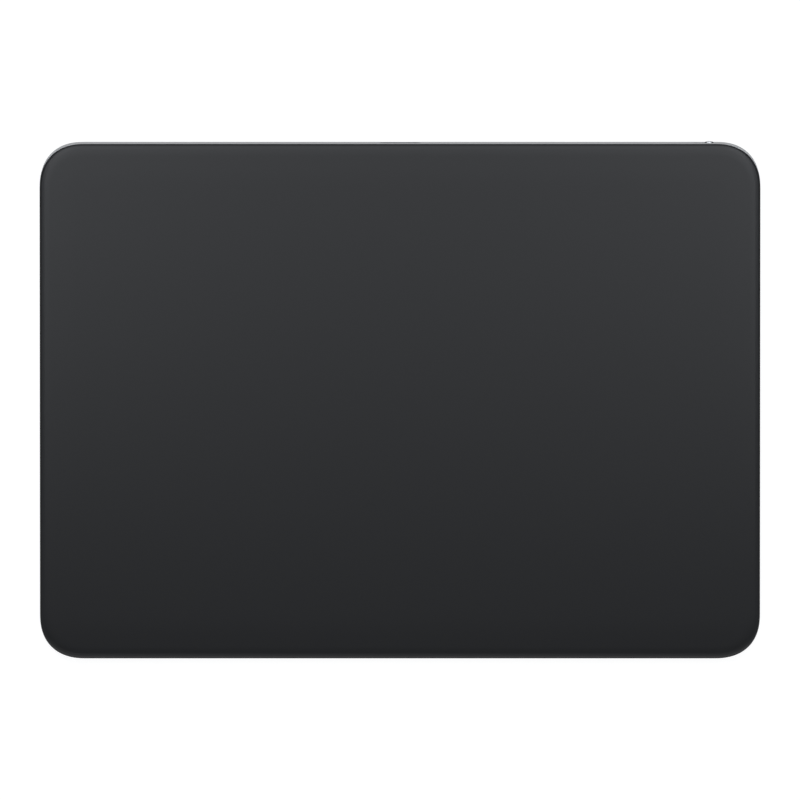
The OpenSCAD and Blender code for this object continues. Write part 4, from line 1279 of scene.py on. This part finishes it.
@dataclass
class Port:
    """Charging port: drawn shell with a rounded lip, gasket, moulded tongue, contacts and strap.

    Attributes:
        wedge: Plane and outline of the pad.
        width: Outside width of the shell.
        height: Outside height of the shell.
        sheet: Thickness of the shell's sheet.
        back_edge: Chamfer round the shell's closed end.
        lip_steps: Spans round the shell's lip.
        gap: Clearance round the shell in the rear wall.
        tongue_width: Width of the contact tongue.
        tongue_height: Thickness of the contact tongue.
        tongue_length: Length of the contact tongue.
        tongue_root: Distance of the tongue's hidden end from the rear of the moulded block.
        block_gap: Clearance of that block in the shell.
        edge: Small chamfers and radii of the moulding.
        nose: Chamfer at the tongue's tip.
    """

    wedge: Wedge
    width: float = 8.94 * MM
    height: float = 3.26 * MM
    sheet: float = 0.3 * MM
    back_edge: float = 0.12 * MM
    lip_steps: int = 8
    gap: float = 0.15 * MM
    tongue_width: float = 6.69 * MM
    tongue_height: float = 0.7 * MM
    tongue_length: float = 4.45 * MM
    tongue_root: float = 0.5 * MM
    block_gap: float = 0.03 * MM
    edge: float = 0.1 * MM
    nose: float = 0.15 * MM

    def mouth(self) -> Vector:
        """Returns the middle of the port's mouth."""
        low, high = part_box("port_shell")
        return Vector(((low.x + high.x) / 2, high.y, (low.z + high.z) / 2))

    def on_wall(self, x: float, z: float, out: float) -> Vector:
        """Finds a place on the leaning rear wall in the row's frame.

        Args:
            x: Place along the wall, from the port's middle.
            z: Height, from the port's middle.
            out: Distance outside the wall.

        Returns:
            The place.
        """
        height = self.mouth().z + z
        rear = self.wedge.depth / 2
        wall = self.wedge.place(0, rear, self.wedge.level(rear, height))
        return Vector((x, wall.y + out, height))

    def behind_mouth(self, x: float, z: float, back: float) -> Vector:
        """Returns the place at a distance behind the mouth, about its middle, in the row's frame."""
        return self.mouth() + Vector((x, -back, z))

    def cutter(self, tray: Tray) -> Piece:
        """Returns the cutter for the port's opening in the tray."""
        width, height = self.width + 2 * self.gap, self.height + 2 * self.gap
        return tray.opening("cut_port", width, height, self.on_wall)

    def shell(self) -> None:
        """Builds the drawn shell with its rounded lip."""
        low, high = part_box("port_shell")
        length, lip = high.y - low.y, self.sheet / 2
        cuts = [(length, self.back_edge), (length - self.back_edge, 0.0)]
        for sine, cosine in arc(self.lip_steps, math.pi):
            cuts.append((lip * (1 - sine), lip * (1 - cosine)))
        cuts.append((length - self.sheet, self.sheet))
        shell = loft("port_shell_drawn", prism(self.width, self.height, None, cuts, self.behind_mouth))
        install(shell, PORT_STEEL, Body.HOUSING, "port_shell")

    def tongue(self) -> None:
        """Builds the moulded block and its tongue with a chamfered tip."""
        low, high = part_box("port_tongue")
        rear, tip = self.mouth().y - low.y, self.mouth().y - high.y
        face, inset = tip + self.tongue_length, self.sheet + self.block_gap
        cuts = ((rear, inset), (face + self.edge, inset), (face, inset + self.edge))
        block = prism(self.width, self.height, None, cuts, self.behind_mouth)
        cuts = ((rear - self.tongue_root, 0.0), (tip + self.nose, 0.0), (tip, self.nose))
        blade = prism(self.tongue_width, self.tongue_height, self.edge, cuts, self.behind_mouth)
        install(loft("port_tongue_moulded", block, blade), BLACK_RESIN, Body.HOUSING, "port_tongue")

    def build(self) -> None:
        """Builds the shell and the tongue and dresses the others."""
        self.shell()
        self.tongue()
        dress(GASKET_RUBBER, "port_gasket")
        dress(CONTACT_GOLD, "port_contacts")
        dress(PLATE_STEEL, "port_cowling")
        dress(SCREW_STEEL, "cowling_screws")


@dataclass
class PowerSwitch:
    """Sliding switch in the rear wall: crowned nub on a dark slider with its fork, lever and case.

    The slider's dark shoulders beside the nub's bright face are painted shade at the nub's ends.

    Attributes:
        wedge: Plane and outline of the pad.
        slot_x: Middle of the slot.
        drop: Distance of the slot below the touch surface.
        slot_width: Length of the slot.
        slot_height: Height of the slot.
        nub_x: Middle of the nub at rest.
        nub_width: Length of the nub.
        nub_height: Height of the nub.
        slider_v: Depth of the slider plate's outer face.
        nub_length: Length of the nub from that face.
        nub_root: How far the nub reaches into the plate.
        face_half: Half of the length of the nub's bright face.
        proud: How far that face stands over the slider's shoulders.
        crown: Radius of the nub's face.
        soft: Radius of the nub's edge.
        steps: Spans along that edge.
        plate: Width, thickness and height of the slider plate.
        fork: Width, length and height of one prong of the fork.
        fork_half: Distance of a prong's middle from the nub's.
        edge: Chamfers and corner radii of plate and fork.
    """

    wedge: Wedge
    slot_x: float = 67.5 * MM
    drop: float = 5.8 * MM
    slot_width: float = 4.6 * MM
    slot_height: float = 1.9 * MM
    nub_x: float = 68.7 * MM
    nub_width: float = 2.0 * MM
    nub_height: float = 1.7 * MM
    slider_v: float = 55.4 * MM
    nub_length: float = 2.15 * MM
    nub_root: float = 0.1 * MM
    # face_half: Half of the length of the nub's bright face, whose lighter tone is a painted highlight.
    face_half: float = 0.56 * MM
    # proud: How far that face stands over the slider's shoulders, which are painted shade.
    proud: float = 0.03 * MM
    crown: float = 3.5 * MM
    soft: float = 0.12 * MM
    steps: int = 4
    plate: tuple[float, float, float] = (7.2 * MM, 0.7 * MM, 3.1 * MM)
    fork: tuple[float, float, float] = (0.6 * MM, 1.4 * MM, 1.1 * MM)
    fork_half: float = 1.1 * MM
    edge: float = 0.1 * MM

    def on_wall(self, x: float, z: float, out: float) -> Vector:
        """Maps a place about the slot's middle, and a distance outside the wall, to the frame."""
        return self.wedge.place(self.slot_x + x, self.wedge.depth / 2 + out, z - self.drop)

    def on_slider(self, x: float, z: float, out: float) -> Vector:
        """Maps a place about the nub's middle, and a distance outside the plate, to the frame."""
        return self.wedge.place(self.nub_x + x, self.slider_v + out, z - self.drop)

    def cutter(self, tray: Tray) -> Piece:
        """Returns the cutter for the slot in the tray."""
        return tray.opening("cut_slot", self.slot_width, self.slot_height, self.on_wall)

    def crowned(self, x: float) -> float:
        """Returns how far the nub's face lies out at a place along it."""
        return self.nub_length - self.crown + math.sqrt(self.crown ** 2 - x ** 2)

    def nub(self, half: float, grow: float) -> list[Ring]:
        """Draws the nub, or a stretch of it, from the slider plate to its crowned face.

        Args:
            half: Half of the length of the stretch.
            grow: How far the stretch stands over the nub's own faces.

        Returns:
            The sections of the nub.
        """
        # Insets, and distances under the crowned face; the first section lies flat in the plate
        cuts: list[tuple[float, float | None]] = [(-grow, None)]
        for sine, cosine in arc(self.steps):
            cuts.append((self.soft * (1 - cosine) - grow, self.soft * (1 - sine) - grow))
        rings = []
        for inset, down in cuts:
            high = self.nub_height - 2 * inset
            ring = []
            for x, z in rounded(self.nub_width - 2 * inset, high, high / 2, END_STEPS):
                kept = max(inset - half, min(half - inset, x))
                out = -self.nub_root if down is None else self.crowned(kept) - down
                ring.append(self.on_slider(kept, z, out))
            rings.append(ring)
        return rings

    def bar(self, x: float, out: float, size: tuple[float, float, float]) -> list[Ring]:
        """Draws a bar that reaches inwards.

        Args:
            x: Place of the bar along the slider, from the nub's middle.
            out: Distance of its outer end outside the plate.
            size: Width, length and height of the bar.

        Returns:
            The sections of the bar.
        """
        width, length, height = size
        edge = self.edge
        cuts = ((0.0, edge), (edge, 0.0), (length - edge, 0.0), (length, edge))
        return prism(
            width, height, edge, cuts, lambda px, z, depth: self.on_slider(x + px, z, out - depth))

    def build(self) -> None:
        """Builds the knob and dresses the others."""
        # The nub's bright face takes the lighter aluminium, a painted highlight on its crown
        face = self.nub(self.face_half, self.proud)
        install(loft("switch_nub_turned", face), NUB_ALUMINIUM_PAINTED_LIGHT, Body.SWITCH, "switch_knob")
        # The slider's dark resin shoulders, as long as the whole nub, frame the bright face as painted
        # shade at the nub's ends
        slider = [self.nub(self.nub_width / 2, 0.0), self.bar(0.0, 0.0, self.plate)]
        slider += [self.bar(x, -self.plate[1], self.fork) for x in (-self.fork_half, self.fork_half)]
        install(loft("switch_slider_with_painted_shade", *slider), BLACK_RESIN, Body.SWITCH, "switch_knob")
        dress(BLACK_RESIN, "switch_lever", "switch_body")
        dress(PLATE_STEEL, "switch_retainer")
        dress(SCREW_STEEL, "switch_screws")


@dataclass
class Leads:
    """Flexible leads; the sensor board's bends as the plate is pressed.

    Attributes:
        joined: How far below its top the sensor lead follows the plate in full.
    """

    joined: float = 0.9 * MM

    def build(self) -> None:
        """Builds the lead that bends and dresses the others."""
        low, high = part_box("sensor_lead")
        middle = middle_of("sensor_lead")
        start, end = (Vector((middle.x, middle.y, z)) for z in (low.z, high.z - self.joined))
        bending_copy("sensor_lead", FLEX_FILM, Bend(Body.HOUSING, Body.CUPS, start, end))
        dress(FLEX_FILM, "switch_lead", "gauge_leads", "coil_lead")


@dataclass
class Studio:
    """Seamless white sweep and broad, soft lamps.

    Attributes:
        floor_radius: Radius of the flat floor.
        floor_middle: Radius of the flat disc in its middle.
        cove: Radius of the sweep from floor to wall.
        wall: Height of the wall above the sweep.
        steps: Spans along the sweep.
        drop: How far the floor lies under the feet, so that the two faces don't fight.
        reflectance: Share of light that the floor gives back.
        glow: Light of the floor as the camera and reflections see it.
        ambient: Light from all round.
        tint: Colour of the panel's cloth and of the light from all round.
        panel_height: Height of the diffusion panel over the pad.
        panel_half: Half of the panel's width.
        panel_front: Place of the panel's front edge.
        panel_rear: Place of the panel's rear edge.
        panel_peak: Brightness of the panel at its brightest.
        panel_grade: Shares of the panel's depth, from the front, and shares of that brightness.
        panel_flare: How much brighter the panel is towards its sides, at its front and at its rear.
        flare_span: Places between which that changes.
        strip_place: Place of the strip lamp in front of the pad.
        strip_size: Width and height of its window.
        strip_level: Brightness of its window.
    """

    floor_radius: float = 2.2
    floor_middle: float = 0.3
    cove: float = 0.9
    wall: float = 0.2
    steps: int = 12
    drop: float = 0.05 * MM
    reflectance: float = 0.33
    glow: float = 0.85
    ambient: float = 0.32
    tint: str = "#F7FAFF"
    panel_height: float = 0.35
    panel_half: float = 0.2
    panel_front: float = -0.2
    panel_rear: float = 0.32
    panel_peak: float = 1.58
    panel_grade: tuple[tuple[float, float], ...] = (
        (0.0, 0.0), (0.19, 0.15), (0.38, 0.6), (0.55, 0.8), (0.7, 0.82), (1.0, 0.65))
    panel_flare: tuple[float, float] = (-1.0, 2.2)
    flare_span: tuple[float, float] = (-0.085, 0.0)
    strip_place: tuple[float, float, float] = (0.0, -0.4, 0.36)
    strip_size: tuple[float, float] = (0.9, 0.11)
    strip_level: float = 1.65

    def build(self) -> None:
        """Sets up the floor, the panel, the lamp and the world."""
        self.floor()
        self.panel()
        self.strip()
        world = bpy.data.worlds.new("studio_world")
        bpy.context.scene.world = world
        world.use_nodes = True
        feed(world.node_tree, world.node_tree.nodes["Background"], {
            "Color": linear(self.tint), "Strength": self.ambient})
        bpy.context.scene.view_settings.view_transform = "Standard"

    def floor(self) -> None:
        """Builds the sweep, which can be seen through from behind and from below."""
        profile = [(self.floor_radius + self.cove, self.cove + self.wall)]
        for sine, cosine in arc(self.steps):
            profile.append((
                self.floor_radius + self.cove * cosine, self.cove * (1 - sine) - self.drop))
        profile.append((self.floor_middle, -self.drop))
        sweep = loft("studio_sweep", turned(Vector((0, 0, 0)), profile), closed=False)
        sweep.data.shade_smooth()
        paper = bare_material("paper_sweep_matt")
        paper.cycles.emission_sampling = "NONE"
        tree = paper.node_tree
        grey = (self.reflectance,) * 3 + (1,)
        matt = add_node(tree, "ShaderNodeBsdfDiffuse", inputs={"Color": grey})
        rays = add_node(tree, "ShaderNodeLightPath")
        seen = rays.outputs["Is Camera Ray"]
        for kind in ("Is Glossy Ray", "Is Transmission Ray"):
            seen = add_node(tree, "ShaderNodeMath", {"operation": "MAXIMUM"}, {
                0: seen, 1: rays.outputs[kind]}).outputs[0]
        level = add_node(tree, "ShaderNodeMath", {"operation": "MULTIPLY"}, {0: seen, 1: self.glow})
        glow = add_node(tree, "ShaderNodeEmission", inputs={"Strength": level.outputs[0]})
        both = add_node(tree, "ShaderNodeAddShader", inputs={0: matt.outputs[0], 1: glow.outputs[0]})
        self.one_sided(tree, both.outputs[0])
        sweep.data.materials.append(paper)

    def one_sided(self, tree: Tree, front: Socket) -> None:
        """Lets a stage surface be seen from its front only.

        Args:
            tree: Tree of the surface's material.
            front: Shader of the front.
        """
        side = add_node(tree, "ShaderNodeNewGeometry")
        clear = add_node(tree, "ShaderNodeBsdfTransparent")
        mixed = add_node(tree, "ShaderNodeMixShader", inputs={
            0: side.outputs["Backfacing"], 1: front, 2: clear.outputs[0]})
        add_node(tree, "ShaderNodeOutputMaterial", inputs={"Surface": mixed.outputs[0]})

    def panel(self) -> None:
        """Hangs a diffusion panel over the pad that is brighter towards the rear."""
        half, front, rear = self.panel_half, self.panel_front, self.panel_rear
        shell = bmesh.new()
        shell.faces.new([
            shell.verts.new((x, y, self.panel_height))
            for x, y in ((-half, front), (-half, rear), (half, rear), (half, front))
        ])
        panel = settle(shell, "diffusion_panel")
        panel.visible_camera = False
        cloth = bare_material("cloth_diffusion")
        tree = cloth.node_tree
        place = add_node(tree, "ShaderNodeTexCoord").outputs["Object"]
        across, along, _ = add_node(tree, "ShaderNodeSeparateXYZ", inputs={0: place}).outputs
        share = add_node(tree, "ShaderNodeMapRange", inputs={
            "Value": along, "From Min": front, "From Max": rear})
        grade = add_node(tree, "ShaderNodeValToRGB", inputs={0: share.outputs[0]})
        stops = grade.color_ramp.elements
        while len(stops) < len(self.panel_grade):
            stops.new(1.0)
        for stop, (where, level) in zip(stops, self.panel_grade):
            stop.position = where
            stop.color = (*(level * part for part in linear(self.tint)[:3]), 1)
        # The flare grows with the square of the distance from the panel's middle line
        steep = self.panel_peak / half ** 2
        flare = add_node(tree, "ShaderNodeMapRange", inputs={
            "Value": along, "From Min": self.flare_span[0], "From Max": self.flare_span[1],
            "To Min": steep * self.panel_flare[0], "To Max": steep * self.panel_flare[1]})
        square = add_node(tree, "ShaderNodeMath", {"operation": "MULTIPLY"}, {0: across, 1: across})
        strength = add_node(tree, "ShaderNodeMath", {"operation": "MULTIPLY_ADD"}, {
            0: square.outputs[0], 1: flare.outputs[0], 2: self.panel_peak})
        light = add_node(tree, "ShaderNodeEmission", inputs={
            "Color": grade.outputs[0], "Strength": strength.outputs[0]})
        self.one_sided(tree, light.outputs[0])
        panel.data.materials.append(cloth)

    def strip(self) -> None:
        """Sets up the soft strip lamp that faces the pad from the front."""
        width, height = self.strip_size
        light = bpy.data.lights.new("front_strip", "AREA")
        light.shape = "RECTANGLE"
        light.size, light.size_y = width, height
        # Even, diffuse light leaves each square metre of a window at pi times its brightness
        light.energy = math.pi * self.strip_level * width * height
        lamp = bpy.data.objects.new("front_strip", light)
        lamp.location = self.strip_place
        lamp.rotation_euler = (-lamp.location).to_track_quat("-Z", "Y").to_euler()
        lamp.visible_camera = False
        bpy.context.scene.collection.objects.link(lamp)


@dataclass
class StudioCamera:
    """Camera above the pad, so little behind its middle that the leaning rear wall just shows.

    Attributes:
        lens: Focal length in millimetres.
        sensor: Width of the sensor in millimetres.
        reach: Distance up to which it sees.
        frame_width: Width of what the picture shows at the touch surface.
        level: Height at which it shows that width.
        behind: Distance of the camera behind the place that it aims at.
        aim: Distance of that place behind the pad's middle.
    """

    lens: float = 1000.0
    sensor: float = 36.0
    reach: float = 20.0
    frame_width: float = 177.65 * MM
    level: float = 8.0 * MM
    behind: float = 65 * MM
    aim: float = 0.05 * MM

    def build(self) -> None:
        """Sets up the scene's camera."""
        data = bpy.data.cameras.new("camera")
        data.lens = self.lens
        data.sensor_width = self.sensor
        data.clip_end = self.reach
        camera = bpy.data.objects.new("camera", data)
        distance = self.frame_width * self.lens / self.sensor
        camera.location = (0, self.aim + self.behind, self.level + distance)
        camera.rotation_euler = (-math.atan(self.behind / distance), 0, 0)
        bpy.context.scene.collection.objects.link(camera)
        bpy.context.scene.camera = camera


def main() -> None:
    """Builds the trackpad piece by piece, then the studio."""
    logging.basicConfig(level=logging.INFO, format="%(name)s: %(message)s")
    wedge = Wedge()
    tray, port, switch = Tray(wedge), Port(wedge), PowerSwitch(wedge)
    tray.build([port.cutter(tray), switch.cutter(tray)])
    for assembly in (
        TouchPlate(wedge), Suspension(wedge), HapticMagnet(), Battery(), LogicBoard(), port, switch,
        Leads(), Studio(), StudioCamera(),
    ):
        assembly.build()


if __name__ == "__main__":
    main()
